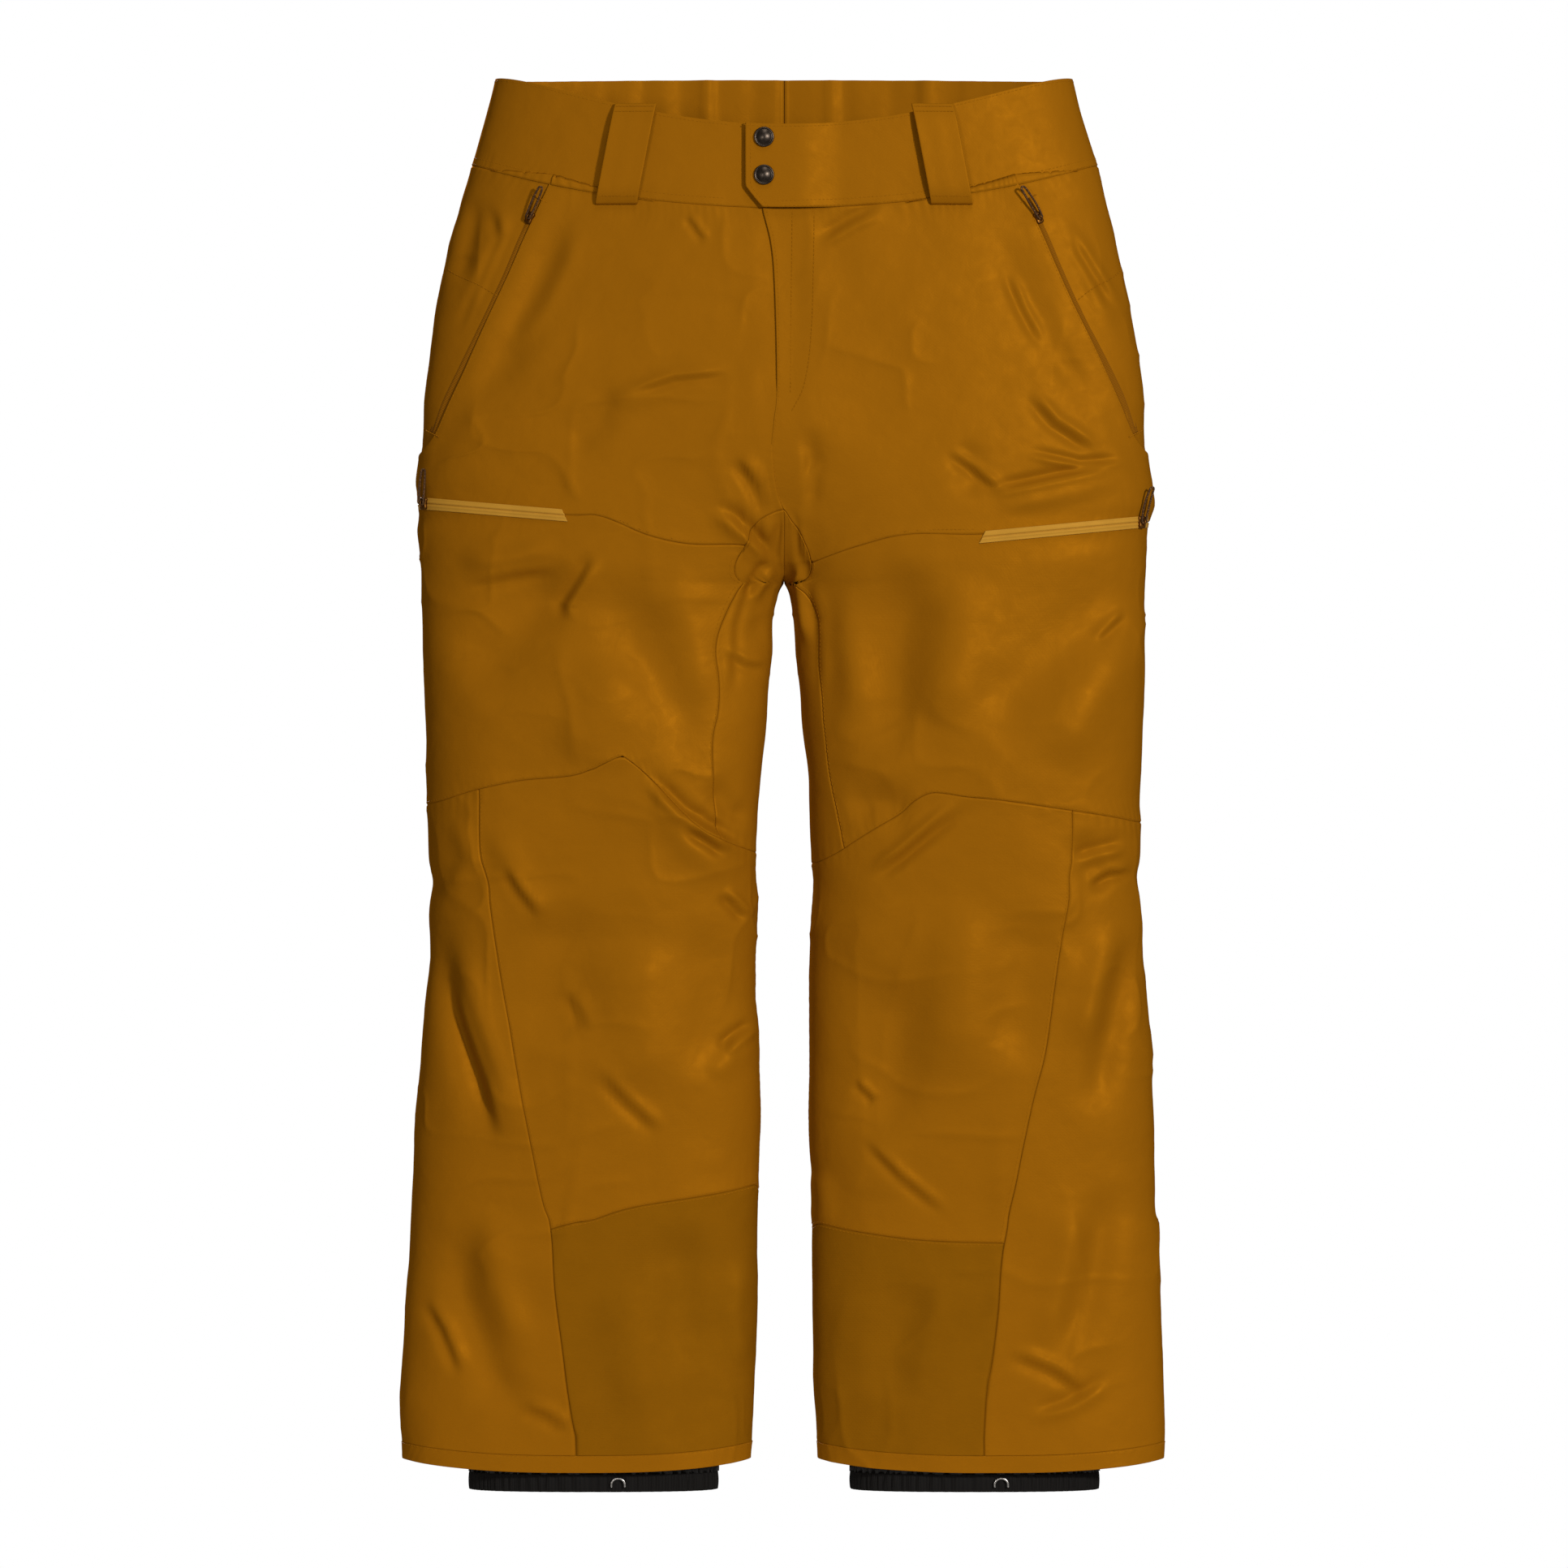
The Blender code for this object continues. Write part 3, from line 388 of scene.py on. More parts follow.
def nearest(x, z, path):
    """Distance to a path in the x, z plane, the side it lies on and the share along it."""
    points = np.array(path, float) * MM
    lengths = np.linalg.norm(np.diff(points, axis=0), axis=1)
    starts = np.concatenate([[0], np.cumsum(lengths)]) / lengths.sum()
    best = np.full(x.shape, 1e9)
    side, share = np.ones(x.shape), np.zeros(x.shape)
    for index, (begin, end) in enumerate(zip(points[:-1], points[1:])):
        run = end - begin
        t = np.clip(((x - begin[0]) * run[0] + (z - begin[1]) * run[1]) / (run @ run), 0, 1)
        away_x, away_z = x - begin[0] - t * run[0], z - begin[1] - t * run[1]
        distance = np.hypot(away_x, away_z)
        closer = distance < best
        best = np.where(closer, distance, best)
        side = np.where(closer, np.sign(run[0] * away_z - run[1] * away_x), side)
        share = np.where(closer, starts[index] + t * (starts[index + 1] - starts[index]), share)
    return best, side, share


def fold_height(x, z, plan):
    """Sum of the designed folds: h exp(-(d/w)^2), or for a crease 2h (d/w) exp(-(d/w)^2)
    with d signed, each tapered to its ends."""
    total = np.zeros(x.shape)
    for shape, height, width, path in plan:
        distance, side, share = nearest(x, z, path)
        q = distance / (width * MM)
        ends = smooth(share / FOLD_TAPER) * smooth((1 - share) / FOLD_TAPER)
        bell = np.exp(-np.minimum(q, FAR_OFF) ** 2) * ends
        total += height * MM * (bell if shape == "ridge" else 2.0 * side * q * bell)
    return total


def ridges(points, size, seed):
    """Sharp lines where slow noise n crosses nought: exp(-|n| / w)."""
    return np.exp(-np.abs(value_noise(points, size, seed)) / CREASE_WIDTH)


def layered(points, layers, noise=value_noise):
    """Sum of layers of noise, in mm."""
    return sum(h * noise(points * stretch, size, seed) for h, size, stretch, seed in layers)


def band_share(height):
    """Nought on the waistband, one on the cloth below it."""
    return smooth((-0.060 - height) / 0.05)


def relief(turn, height, way, points):
    """How far the cloth stands off the plain surface: designed folds, slow rolls and creases,
    all held down near hardware, and a fine crumple everywhere."""
    x, z = points[..., 0], points[..., 2]
    ahead = frontness(turn, height)
    strength = settings().fold_strength
    folds = ahead * fold_height(x, z, FRONT_FOLDS) + (1 - ahead) * fold_height(x, z, BACK_FOLDS)
    warped = points + CREASE_BEND * value_noise(points, 0.05, 21)[..., None]
    where = smooth(value_noise(points, 0.075, 22) * 1.6 + 0.35)
    below = band_share(height)
    creases = where * layered(warped, CREASES, ridges) * (BAND_CREASES + (1 - BAND_CREASES) * below)
    slow = layered(points, ROLLS) + creases
    calm = np.ones(x.shape)
    for reach, path in QUIET:
        distance, _, _ = nearest(x, z, path)
        calm *= 1 - ahead * (1 - smooth((distance / MM - reach) / QUIET_FADE))
    band = below * (1 - BAND_CALM) + BAND_CALM
    return (strength * folds + band * slow * MM) * calm + layered(points, CRUMPLE) * MM


def cloth_point(turn, height, way):
    """The finished surface without edge work: plain point + normal x relief."""
    turn, height = np.broadcast_arrays(np.asarray(turn, float), np.asarray(height, float))
    plain = plain_surface(turn, height, way)
    normal = outward(turn, height, way)
    moved = plain + normal * relief(turn, height, way, plain)[..., None]
    return settle(plain, moved, turn, height, way), normal


MIDDLE_TURN = 0.03  # how far round from a middle seam the cloth is held
FLY_FOOT = -0.30  # above it the fronts overlap, so nothing is held


def settle(plain, moved, turn, height, way):
    """Keeps the middle seams on the middle plane, as the relief there only moves y and z."""
    hold = smooth(np.minimum(np.abs(turn), np.abs(1 - turn)) / MIDDLE_TURN)
    fly = smooth((height - FLY_FOOT) / 0.02) * (turn < 0.5)
    above = smooth((height - CROTCH - 0.002) / 0.006) * (1 - fly)
    moved[..., 0] = plain[..., 0] + (moved[..., 0] - plain[..., 0]) * (1 - above * (1 - hold))
    return moved


# ---- sewing patches -----------------------------------------------------------------------
METRIC = np.array([0.60, 1.0])  # metres per unit of turn and of height
EDGE_ROWS = np.array([0.0006, 0.0013, 0.0021])  # metres from an edge to its extra mesh lines
RUN_POINTS = 240


def flat_path(points, way, back=False):
    """A path of x, z points in mm as (turn, height) pairs."""
    place = np.array(points, float) * MM
    return np.stack([turn_at(place[:, 0], place[:, 1], way, back), place[:, 1]], -1)


def rounded(path, count=160):
    """A Catmull-Rom curve through a path's points: p = sum of cubic weights x four points."""
    path = np.asarray(path, float)
    if len(path) == 2:
        return path[0] + (path[1] - path[0]) * np.linspace(0, 1, count)[:, None]
    padded = np.vstack([2 * path[0] - path[1], path, 2 * path[-1] - path[-2]])
    position = np.linspace(0, len(path) - 1 - 1e-9, count)
    i = position.astype(int)
    t = (position - i)[:, None]
    a, b, c, d = padded[i], padded[i + 1], padded[i + 2], padded[i + 3]
    square, cube = 2 * a - 5 * b + 4 * c - d, 3 * b - a - 3 * c + d
    return 0.5 * (2 * b + (c - a) * t + square * t**2 + cube * t**3)


def at_shares(path, shares):
    """Points of a path at shares of its length."""
    steps = np.linalg.norm(np.diff(path, axis=0) * METRIC, axis=1)
    travelled = np.concatenate([[0], np.cumsum(steps)])
    travelled /= travelled[-1]
    return np.stack([np.interp(shares, travelled, path[:, k]) for k in (0, 1)], -1)


def length_of(path):
    """Length of a (turn, height) path, in metres."""
    return np.linalg.norm(np.diff(path, axis=0) * METRIC, axis=1).sum()


def stations(length, step):
    """Shares across a patch: even steps, with extra ones close to both edges."""
    even = np.linspace(0, 1, max(4, int(round(length / step))) + 1)
    close = EDGE_ROWS / length
    return np.unique(np.round(np.concatenate([even, close, 1 - close]), 6))


def sample_grid(grid, rows, columns):
    """Bilinear reading of a grid of points at fractional rows and columns."""
    i = np.clip(rows.astype(int), 0, grid.shape[0] - 2)
    j = np.clip(columns.astype(int), 0, grid.shape[1] - 2)
    v, u = (rows - i)[:, None], (columns - j)[:, None]
    return (
        grid[i, j] * (1 - u) * (1 - v) + grid[i, j + 1] * u * (1 - v)
        + grid[i + 1, j] * (1 - u) * v + grid[i + 1, j + 1] * u * v
    )


class Patch:
    """A four-edged stretch of cloth, filled between its edge paths by Coons' rule:
    across + down - corners."""

    def __init__(self, way, top, bottom, left, right, edges, step, lift):
        self.way = way
        self.u = stations(max(length_of(top), length_of(bottom)), step)
        self.v = stations(max(length_of(left), length_of(right)), step)
        u, v = self.u[None, :, None], self.v[:, None, None]
        above, below = at_shares(top, self.u)[None], at_shares(bottom, self.u)[None]
        before, after = at_shares(left, self.v)[:, None], at_shares(right, self.v)[:, None]
        corners = (
            (1 - u) * (1 - v) * above[:, :1] + u * (1 - v) * above[:, -1:]
            + (1 - u) * v * below[:, :1] + u * v * below[:, -1:]
        )
        place = (1 - v) * above + v * below + (1 - u) * before + u * after - corners
        self.turn, self.height = place[..., 0], place[..., 1]
        plain = plain_surface(self.turn, self.height, way)
        normal = outward(self.turn, self.height, way)
        offset = relief(self.turn, self.height, way, plain)
        across = np.linalg.norm(np.diff(plain, axis=1), axis=2)
        down = np.linalg.norm(np.diff(plain, axis=0), axis=2)
        zero_column, zero_row = np.zeros((plain.shape[0], 1)), np.zeros((1, plain.shape[1]))
        self.across = np.hstack([zero_column, np.cumsum(across, 1)])
        self.down = np.vstack([zero_row, np.cumsum(down, 0)])
        reach = {
            "left": (self.across, self.down),
            "right": (self.across[:, -1:] - self.across, self.down),
            "top": (self.down, self.across),
            "bottom": (self.down[-1:] - self.down, self.across),
        }
        for name, kind in edges.items():
            distance, along = reach[name]
            offset = offset + edge_height(kind, distance, along, plain)
        if lift is not None:
            offset = offset + lift(plain)
        self.points = settle(plain, plain + normal * offset[..., None], self.turn, self.height, way)
        self.normal = normal

    def row(self, edge, distance, start=0.0, end=1.0):
        """A run of points and normals at a distance in from one edge, between two shares."""
        share = np.linspace(start, end, RUN_POINTS)
        level = edge in ("top", "bottom")
        across, down = (self.u, self.v) if level else (self.v, self.u)
        length = np.interp(share, across, self.down[-1] if level else self.across[:, -1])
        deep = np.clip(distance / np.maximum(length, 1e-6), 0, 1)
        deep = deep if edge in ("top", "left") else 1 - deep
        columns = np.interp(share, across, np.arange(len(across)))
        rows = np.interp(deep, down, np.arange(len(down)))
        if not level:
            rows, columns = columns, rows
        return sample_grid(self.points, rows, columns), sample_grid(self.normal, rows, columns)


PUCKER_PITCH, PUCKER_DRIFT, PUCKER_REACH = 0.0075, 0.0015, 9  # metres, metres, millimetres
# height in mm and reach in mm of the bell that each kind of edge adds
EDGE_BELLS = {
    "seam": (0.30, 7), "lap": (1.15, 13), "under": (-1.3, 9),
    "fly_over": (1.0, 9), "fly_under": (-0.9, 9),
}
SEAM_ROLL, SEAM_ROLL_REACH = 0.55, 1.4  # a seam's own edge dips by this, within this reach
FLY_OPEN, FLY_CLOSES, FLY_REST = 0.150, 0.022, 0.12  # the fly's step fades at its foot to a share


def edge_height(kind, distance, along, plain):
    """What sewing does to the cloth near an edge, as a height over distance e: every sewn edge
    puckers, a seam also rolls down at its very edge, a lap stands up and an under edge goes
    below, each by h exp(-(e / w)^2)."""
    style, pucker = kind
    e = distance / MM
    wave = np.sin(2 * np.pi * along / (PUCKER_PITCH + PUCKER_DRIFT * value_noise(plain, 0.05, 5)))
    wave = wave * (0.5 + 0.5 * value_noise(plain, 0.03, 6))
    height = pucker * wave * np.exp(-e / PUCKER_REACH) * smooth(e / 2)
    if style in EDGE_BELLS:
        rise, reach = EDGE_BELLS[style]
        bell = rise * np.exp(-((e / reach) ** 2))
        if style.startswith("fly"):
            bell = bell * (FLY_REST + (1 - FLY_REST) * smooth((FLY_OPEN - along) / FLY_CLOSES))
        height = height + bell
    if style == "seam":
        height = height - SEAM_ROLL * (1 - smooth(e / SEAM_ROLL_REACH))
    return MM * height


# ---- meshes -------------------------------------------------------------------------------
def grid_faces(rows, columns, closed_columns=False, start=0):
    """Quads of a grid whose point (i, j) is number i * columns + j."""
    i = np.arange(rows - 1)[:, None]
    j = np.arange(columns if closed_columns else columns - 1)[None, :]
    below, beside = i + 1, (j + 1) % columns
    corners = [i * columns + j, i * columns + beside, below * columns + beside, below * columns + j]
    return np.stack(corners, -1).reshape(-1, 4) + start


def mesh_object(name, points, faces, maker, uv=None, caps=()):
    """A mesh from arrays of points and quads, with any many-sided caps after them."""
    mesh = bpy.data.meshes.new(name)
    mesh.from_pydata(points.reshape(-1, 3), [], [*faces.tolist(), *caps])
    if uv is not None:
        layer = mesh.uv_layers.new(name="cloth")
        corners = np.zeros(len(mesh.loops), np.int32)
        mesh.loops.foreach_get("vertex_index", corners)
        layer.data.foreach_set("uv", uv.reshape(-1, 2)[corners].astype(np.float32).ravel())
    mesh.polygons.foreach_set("use_smooth", [True] * len(mesh.polygons))
    mesh.validate()
    mesh.update()
    thing = bpy.data.objects.new(name, mesh)
    bpy.context.scene.collection.objects.link(thing)
    mesh.materials.append(finish(maker))
    return thing


def thicken(thing, wall):
    """Gives a sheet a wall on the inner side of its faces."""
    solid = thing.modifiers.new("wall", "SOLIDIFY")
    solid.thickness = wall
    solid.offset = -1.0
    solid.use_even_offset = False
    return thing


def sew(name, patches, maker, wall=None):
    """One cloth piece from its patches, each with its own points, given a wall inwards."""
    points, faces, uv, start = [], [], [], 0
    for patch in patches:
        rows, columns = patch.turn.shape
        quads = grid_faces(rows, columns, start=start)
        faces.append(quads[:, ::-1] if patch.way > 0 else quads)
        points.append(patch.points.reshape(-1, 3))
        uv.append(np.stack([patch.turn * METRIC[0], patch.height], -1).reshape(-1, 2))
        start += rows * columns
    thing = mesh_object(name, np.vstack(points), np.vstack(faces), maker, np.vstack(uv))
    face_out(thing, np.vstack([patch.normal.reshape(-1, 3) for patch in patches]))
    return thicken(thing, wall or settings().cloth_wall)


def face_out(thing, wanted):
    """Turns the whole mesh round if its faces point against the wanted normals."""
    mesh = thing.data
    normals = np.zeros(len(mesh.vertices) * 3, np.float32)
    mesh.vertices.foreach_get("normal", normals)
    if (normals.reshape(-1, 3) * wanted).sum() < 0:
        mesh.flip_normals()


def frames_along(path, hint):
    """Unit tangent, side and up arrays along a path, with up as near the hint as it can be."""
    tangent = np.gradient(path, axis=0)
    tangent /= np.linalg.norm(tangent, axis=1, keepdims=True)
    hint = np.broadcast_to(np.asarray(hint, float), path.shape)
    side = np.cross(tangent, hint)
    side /= np.linalg.norm(side, axis=1, keepdims=True)
    return tangent, side, np.cross(side, tangent)


def resample(path, step=None, count=None, extra=None):
    """Points at even distances along a path, and the same reading of an extra array."""
    lengths = np.linalg.norm(np.diff(path, axis=0), axis=1)
    travelled = np.concatenate([[0], np.cumsum(lengths)])
    count = count or max(2, int(travelled[-1] / step) + 1)
    wanted = np.linspace(0, travelled[-1], count)
    out = np.stack([np.interp(wanted, travelled, path[:, k]) for k in range(3)], -1)
    if extra is None:
        return out
    return out, np.stack([np.interp(wanted, travelled, extra[:, k]) for k in range(3)], -1)


def end_caps(rows, columns):
    """The first ring and the last, as the two faces that close a run of rings."""
    last = (rows - 1) * columns
    return [list(range(columns)), list(range(last, last + columns))[::-1]]


def tube(name, path, radius, hint, maker, sides=12):
    """Rings of radius r about a path: p + r (cos a side + sin a up), with capped ends."""
    _, side, up = frames_along(path, hint)
    angle = np.linspace(0, 2 * np.pi, sides, endpoint=False)
    turn = angle[None, :, None]
    ring = path[:, None] + radius * (np.cos(turn) * side[:, None] + np.sin(turn) * up[:, None])
    rows = len(path)
    travelled = np.concatenate([[0], np.cumsum(np.linalg.norm(np.diff(path, axis=0), axis=1))])
    uv = np.stack(np.broadcast_arrays(travelled[:, None], (angle / (2 * np.pi))[None, :]), -1)
    faces = grid_faces(rows, sides, closed_columns=True)
    thing = mesh_object(name, ring, faces, maker, uv, end_caps(rows, sides))
    face_out(thing, (ring - path[:, None]).reshape(-1, 3))
    return thing


def turned(name, profile, centre, axis, maker, steps=48):
    """A profile of (radius, height) pairs turned about an axis: c + r (cos a u + sin a v) + h n."""
    n = np.array(axis, float) / np.linalg.norm(axis)
    u = np.cross(n, [0.0, 0.0, 1.0])
    u /= np.linalg.norm(u)
    v = np.cross(n, u)
    profile = np.array(profile, float)
    angle = np.linspace(0, 2 * np.pi, steps, endpoint=False)
    circle = np.cos(angle)[None, :, None] * u + np.sin(angle)[None, :, None] * v
    points = np.array(centre) + profile[:, :1, None] * circle + profile[:, 1:, None] * n
    rows = len(profile)
    faces = grid_faces(rows, steps, closed_columns=True)
    thing = mesh_object(name, points, faces, maker, caps=end_caps(rows, steps))
    repair_normals(thing)
    return thing


def repair_normals(thing):
    """Makes a closed mesh point outwards all over."""
    work = bmesh.new()
    work.from_mesh(thing.data)
    bmesh.ops.remove_doubles(work, verts=work.verts, dist=1e-6)
    bmesh.ops.recalc_face_normals(work, faces=work.faces)
    work.to_mesh(thing.data)
    work.free()


# ---- stitching ----------------------------------------------------------------------------
STITCHES = {}  # runs of threads that wait for their mesh, by group
STITCH_LENGTH, STITCH_WIDTH = 0.0024, 0.00034
STITCH_SINK = 0.00008  # how deep a thread sits in the cloth
STITCH_LIFT = 0.0002


def stitch(group, points, normals, pitch=None, length=STITCH_LENGTH, width=STITCH_WIDTH):
    """Adds a run of threads to a group. Each is a lozenge of four stations: half width w and
    height h there are 0.4, 1, 1 and 0.4 of full size."""
    pitch = pitch or settings().stitch_pitch
    place, up = resample(points, pitch, extra=normals)
    if len(place) < 3:
        return
    up /= np.linalg.norm(up, axis=1, keepdims=True)
    tangent = np.gradient(place, axis=0)
    tangent /= np.linalg.norm(tangent, axis=1, keepdims=True)
    side = np.cross(up, tangent)
    along = np.array([-0.5, -0.28, 0.28, 0.5]) * length
    size = np.array([0.4, 1.0, 1.0, 0.4])
    cross = size[:, None, None] * np.array([(-1, 0.0), (0, 1.0), (1, 0.0), (0, -0.6)])
    over = cross[..., 1] * width * 1.1 - STITCH_SINK
    body = (
        place[:, None, None]
        + along[None, :, None, None] * tangent[:, None, None]
        + (cross[..., 0] * width)[None, :, :, None] * side[:, None, None]
        + over[None, :, :, None] * up[:, None, None]
    )
    STITCHES.setdefault(group, []).append(body.reshape(-1, 16, 3))


def thread_mesh(name, group):
    """One mesh of all the threads of a group, each a closed block of 16 points."""
    if group not in STITCHES:
        raise RuntimeError(f"no stitches wait for {name}: the pieces they hold come first")
    blocks = np.concatenate(STITCHES.pop(group))
    one = np.vstack([grid_faces(4, 4, closed_columns=True), [[0, 1, 2, 3], [15, 14, 13, 12]]])
    faces = (np.arange(len(blocks))[:, None, None] * 16 + one[None]).reshape(-1, 4)
    thing = mesh_object(name, blocks.reshape(-1, 3), faces, thread)
    centre = blocks.mean(1, keepdims=True)
    face_out(thing, (blocks - centre).reshape(-1, 3))
    return thing


def surface_run(points, way):
    """Points and normals of the cloth along an x, z path in mm."""
    path = rounded(flat_path(points, way), 200)
    place, normal = cloth_point(path[:, 0], path[:, 1], way)
    return place + normal * STITCH_LIFT, normal


# ---- settings -----------------------------------------------------------------------------
def linear(code):
    """sRGB hex to linear: ((c + 0.055) / 1.055)^2.4 above 0.04045, c / 12.92 below."""
    channels = np.array([int(code[k : k + 2], 16) for k in (1, 3, 5)]) / 255
    low, high = channels / 12.92, ((channels + 0.055) / 1.055) ** 2.4
    return tuple(np.where(channels > 0.04045, high, low).tolist())


def colour(name, code, about):
    return bpy.props.FloatVectorProperty(
        name=name, description=about, default=linear(code), size=3, min=0, max=1, subtype="COLOR"
    )


def metres(name, default, low, high, about):
    return bpy.props.FloatProperty(
        name=name, description=about, default=default, min=low, max=high, unit="LENGTH"
    )


class TrouserSettings(bpy.types.PropertyGroup):
    """Sizes and colours that can be changed before the pieces are built"""

    cloth_wall: metres("Cloth wall", CLOTH_WALL, 0.0004, 0.0025, "Thickness of a sewn panel")
    fold_strength: bpy.props.FloatProperty(
        name="Fold strength", description="Multiplies the designed folds", default=1.75, min=0, max=4
    )
    grid_step: metres("Grid step", 0.0025, 0.0015, 0.01, "Distance between lines on the cloth")
    stitch_pitch: metres("Stitch pitch", 0.0032, 0.002, 0.006, "Distance between stitches")
    shell_colour: colour("Shell", "#90590a", "Face cloth of the trousers")
    scuff_colour: colour("Scuff guard", "#835208", "Hard-wearing cloth inside the ankles")
    zip_colour: colour("Thigh zip", "#b4812c", "Film over the sealed thigh zips")
    thread_colour: colour("Thread", "#9a600a", "Topstitching")
    gaiter_colour: colour("Gaiter", "#0e0b08", "Inner gaiters and their elastic")
    cord_colour: colour("Pull cord", "#4a2f16", "Braided zip pulls")


def settings():
    return bpy.context.scene.trousers


# ---- materials ----------------------------------------------------------------------------
WAVE_BAND = 0.314  # a wave texture of scale 1 has a band in each of these


def add(tree, kind, links=None, inputs=None, **values):
    """A node with its values set, its input constants filled and its inputs linked."""
    made = tree.nodes.new(kind)
    for key, value in values.items():
        setattr(made, key, value)
    for key, value in (inputs or {}).items():
        made.inputs[key].default_value = value
    for key, socket in (links or {}).items():
        tree.links.new(socket, made.inputs[key])
    return made


def new_material(name, **constants):
    """A Principled material and its tree, with constants set straight on the shader."""
    made = bpy.data.materials.new(name)
    made.use_nodes = True
    shader = made.node_tree.nodes["Principled BSDF"]
    for key, value in constants.items():
        shader.inputs[key.replace("_", " ")].default_value = value
    return made, made.node_tree, shader


def shade(rgb, factor):
    """A colour made lighter or darker by a factor."""
    return (*[min(1.0, c * factor) for c in rgb], 1.0)


def noise(tree, place, scale, **more):
    """A noise texture's value at a place."""
    inputs = {"Scale": scale, **more}
    return add(tree, "ShaderNodeTexNoise", {"Vector": place}, inputs).outputs["Fac"]


def cloth_map(tree):
    """The map that runs with the cloth, in metres."""
    return add(tree, "ShaderNodeUVMap", uv_map="cloth").outputs["UV"]


def bands(tree, pitch, direction, **more):
    """Bands at a pitch along the cloth's own map."""
    inputs, links = {"Scale": WAVE_BAND / pitch, **more}, {"Vector": cloth_map(tree)}
    return add(tree, "ShaderNodeTexWave", links, inputs, bands_direction=direction).outputs["Fac"]


def coloured(tree, shader, value, first, last, start=0.0, end=1.0):
    """Base colour that goes from one colour to another as a value goes from start to end."""
    ramp = add(tree, "ShaderNodeValToRGB", {"Fac": value})
    for stop, position, rgba in zip(ramp.color_ramp.elements, (start, end), (first, last)):
        stop.position, stop.color = position, rgba
    tree.links.new(ramp.outputs["Color"], shader.inputs["Base Color"])


def raised(tree, shader, height, strength, distance, over=None):
    """Bumps the shader's normal by a height, over an earlier bump where there is one."""
    links = {"Height": height, **({"Normal": over} if over else {})}
    bump = add(tree, "ShaderNodeBump", links, {"Strength": strength, "Distance": distance})
    tree.links.new(bump.outputs["Normal"], shader.inputs["Normal"])
    return bump.outputs["Normal"]


def uneven_gloss(tree, shader, value, low, high):
    """Roughness that follows a noise between two values."""
    span = {"From Min": 0.3, "From Max": 0.7, "To Min": low, "To Max": high}
    gloss = add(tree, "ShaderNodeMapRange", {"Value": value}, span)
    tree.links.new(gloss.outputs["Result"], shader.inputs["Roughness"])


def mottled(tree, shader, rgb, size, low, high):
    """Base colour drifting between two shades of one colour over patches of a size."""
    place = add(tree, "ShaderNodeTexCoord").outputs["Object"]
    drift = noise(tree, place, 1 / size, Detail=4.0, Roughness=0.6)
    coloured(tree, shader, drift, shade(rgb, low), shade(rgb, high), 0.3, 0.7)
    return place


def weave(tree, shader, place, pitch, depth, crumple, crumple_size=0.011):
    """Two crossed thread waves along the cloth's own map, over a soft crumple, as one bump."""
    warp, weft = (bands(tree, pitch, way, Distortion=0.6) for way in ("DIAGONAL", "Y"))
    both = add(tree, "ShaderNodeMath", {0: warp, 1: weft}, operation="MULTIPLY")
    threads = raised(tree, shader, both.outputs[0], 0.35, depth)
    rough = noise(tree, place, 1 / crumple_size, Detail=5.0, Roughness=0.55, Distortion=0.4)
    raised(tree, shader, rough, 0.5, crumple, threads)
    middle = shader.inputs["Roughness"].default_value
    uneven_gloss(tree, shader, rough, middle - 0.06, middle + 0.06)


OCHRE_GLOSS = (*linear("#d8a050"), 1.0)  # a coated face tints what it reflects
COATED = {"Specular_IOR_Level": 0.0, "Specular_Tint": OCHRE_GLOSS}


def shell_cloth():
    # Three-layer laminate with a fine twill nylon face: even colour, a soft satin sheen and
    # small crumples. The twill is drawn at 1.3 mm, as its real 0.3 mm rib is too fine to show.
    made, *parts = new_material("nylon_twill_laminate", Roughness=0.50, Metallic=0.12, **COATED)
    place = mottled(*parts, settings().shell_colour, 0.060, 0.975, 1.025)
    weave(*parts, place, 0.0013, 0.00006, 0.00055)
    return made


def scuff_cloth():
    # Heavier plain-weave nylon: duller and a shade greener, with a coarser square weave.
    made, *parts = new_material("heavy_nylon_plain_weave", Roughness=0.62, Metallic=0.15, **COATED)
    place = mottled(*parts, settings().scuff_colour, 0.030, 0.96, 1.04)
    weave(*parts, place, 0.0015, 0.00010, 0.0005)
    return made


def laminated_zip():
    # Polyurethane film over a reversed coil zip: smooth, semi-matt and slightly cloudy.
    made, tree, shader = new_material(
        "polyurethane_film", Roughness=0.42, Specular_IOR_Level=0.20, Specular_Tint=OCHRE_GLOSS
    )
    place = mottled(tree, shader, settings().zip_colour, 0.020, 0.93, 1.05)
    raised(tree, shader, noise(tree, place, 900.0, Detail=2.0), 0.15, 0.0001)
    return made


def ribbed(name, rgb, pitch, **constants):
    """A woven or coiled strip: dark and light ribs at a pitch along its own map."""
    made, tree, shader = new_material(name, **constants)
    ribs = bands(tree, pitch, "X", Distortion=0.3, Detail=1.0)
    coloured(tree, shader, ribs, shade(rgb, 0.72), shade(rgb, 1.1))
    raised(tree, shader, ribs, 0.6, 0.0003)
    return made


def zip_tape():
    # Polyester zip tape with its nylon coil: a strong rib every 1.2 mm.
    return ribbed(
        "polyester_zip_tape", linear("#84500a"), 0.0012,
        Roughness=0.6, Specular_IOR_Level=0.12, Specular_Tint=OCHRE_GLOSS,
    )


def gaiter_elastic():
    # Gathered taffeta over knitted elastic: black, with close upright ribs.
    rgb = settings().gaiter_colour
    return ribbed("knitted_elastic", rgb, 0.0016, Roughness=0.75, Specular_IOR_Level=0.15)


def gaiter_cloth():
    # Black nylon taffeta: thin, a little glossy on its gathers.
    made, *parts = new_material("nylon_taffeta", Roughness=0.48, Specular_IOR_Level=0.22)
    place = mottled(*parts, settings().gaiter_colour, 0.012, 0.8, 1.3)
    weave(*parts, place, 0.0012, 0.00006, 0.0007, 0.006)
    return made


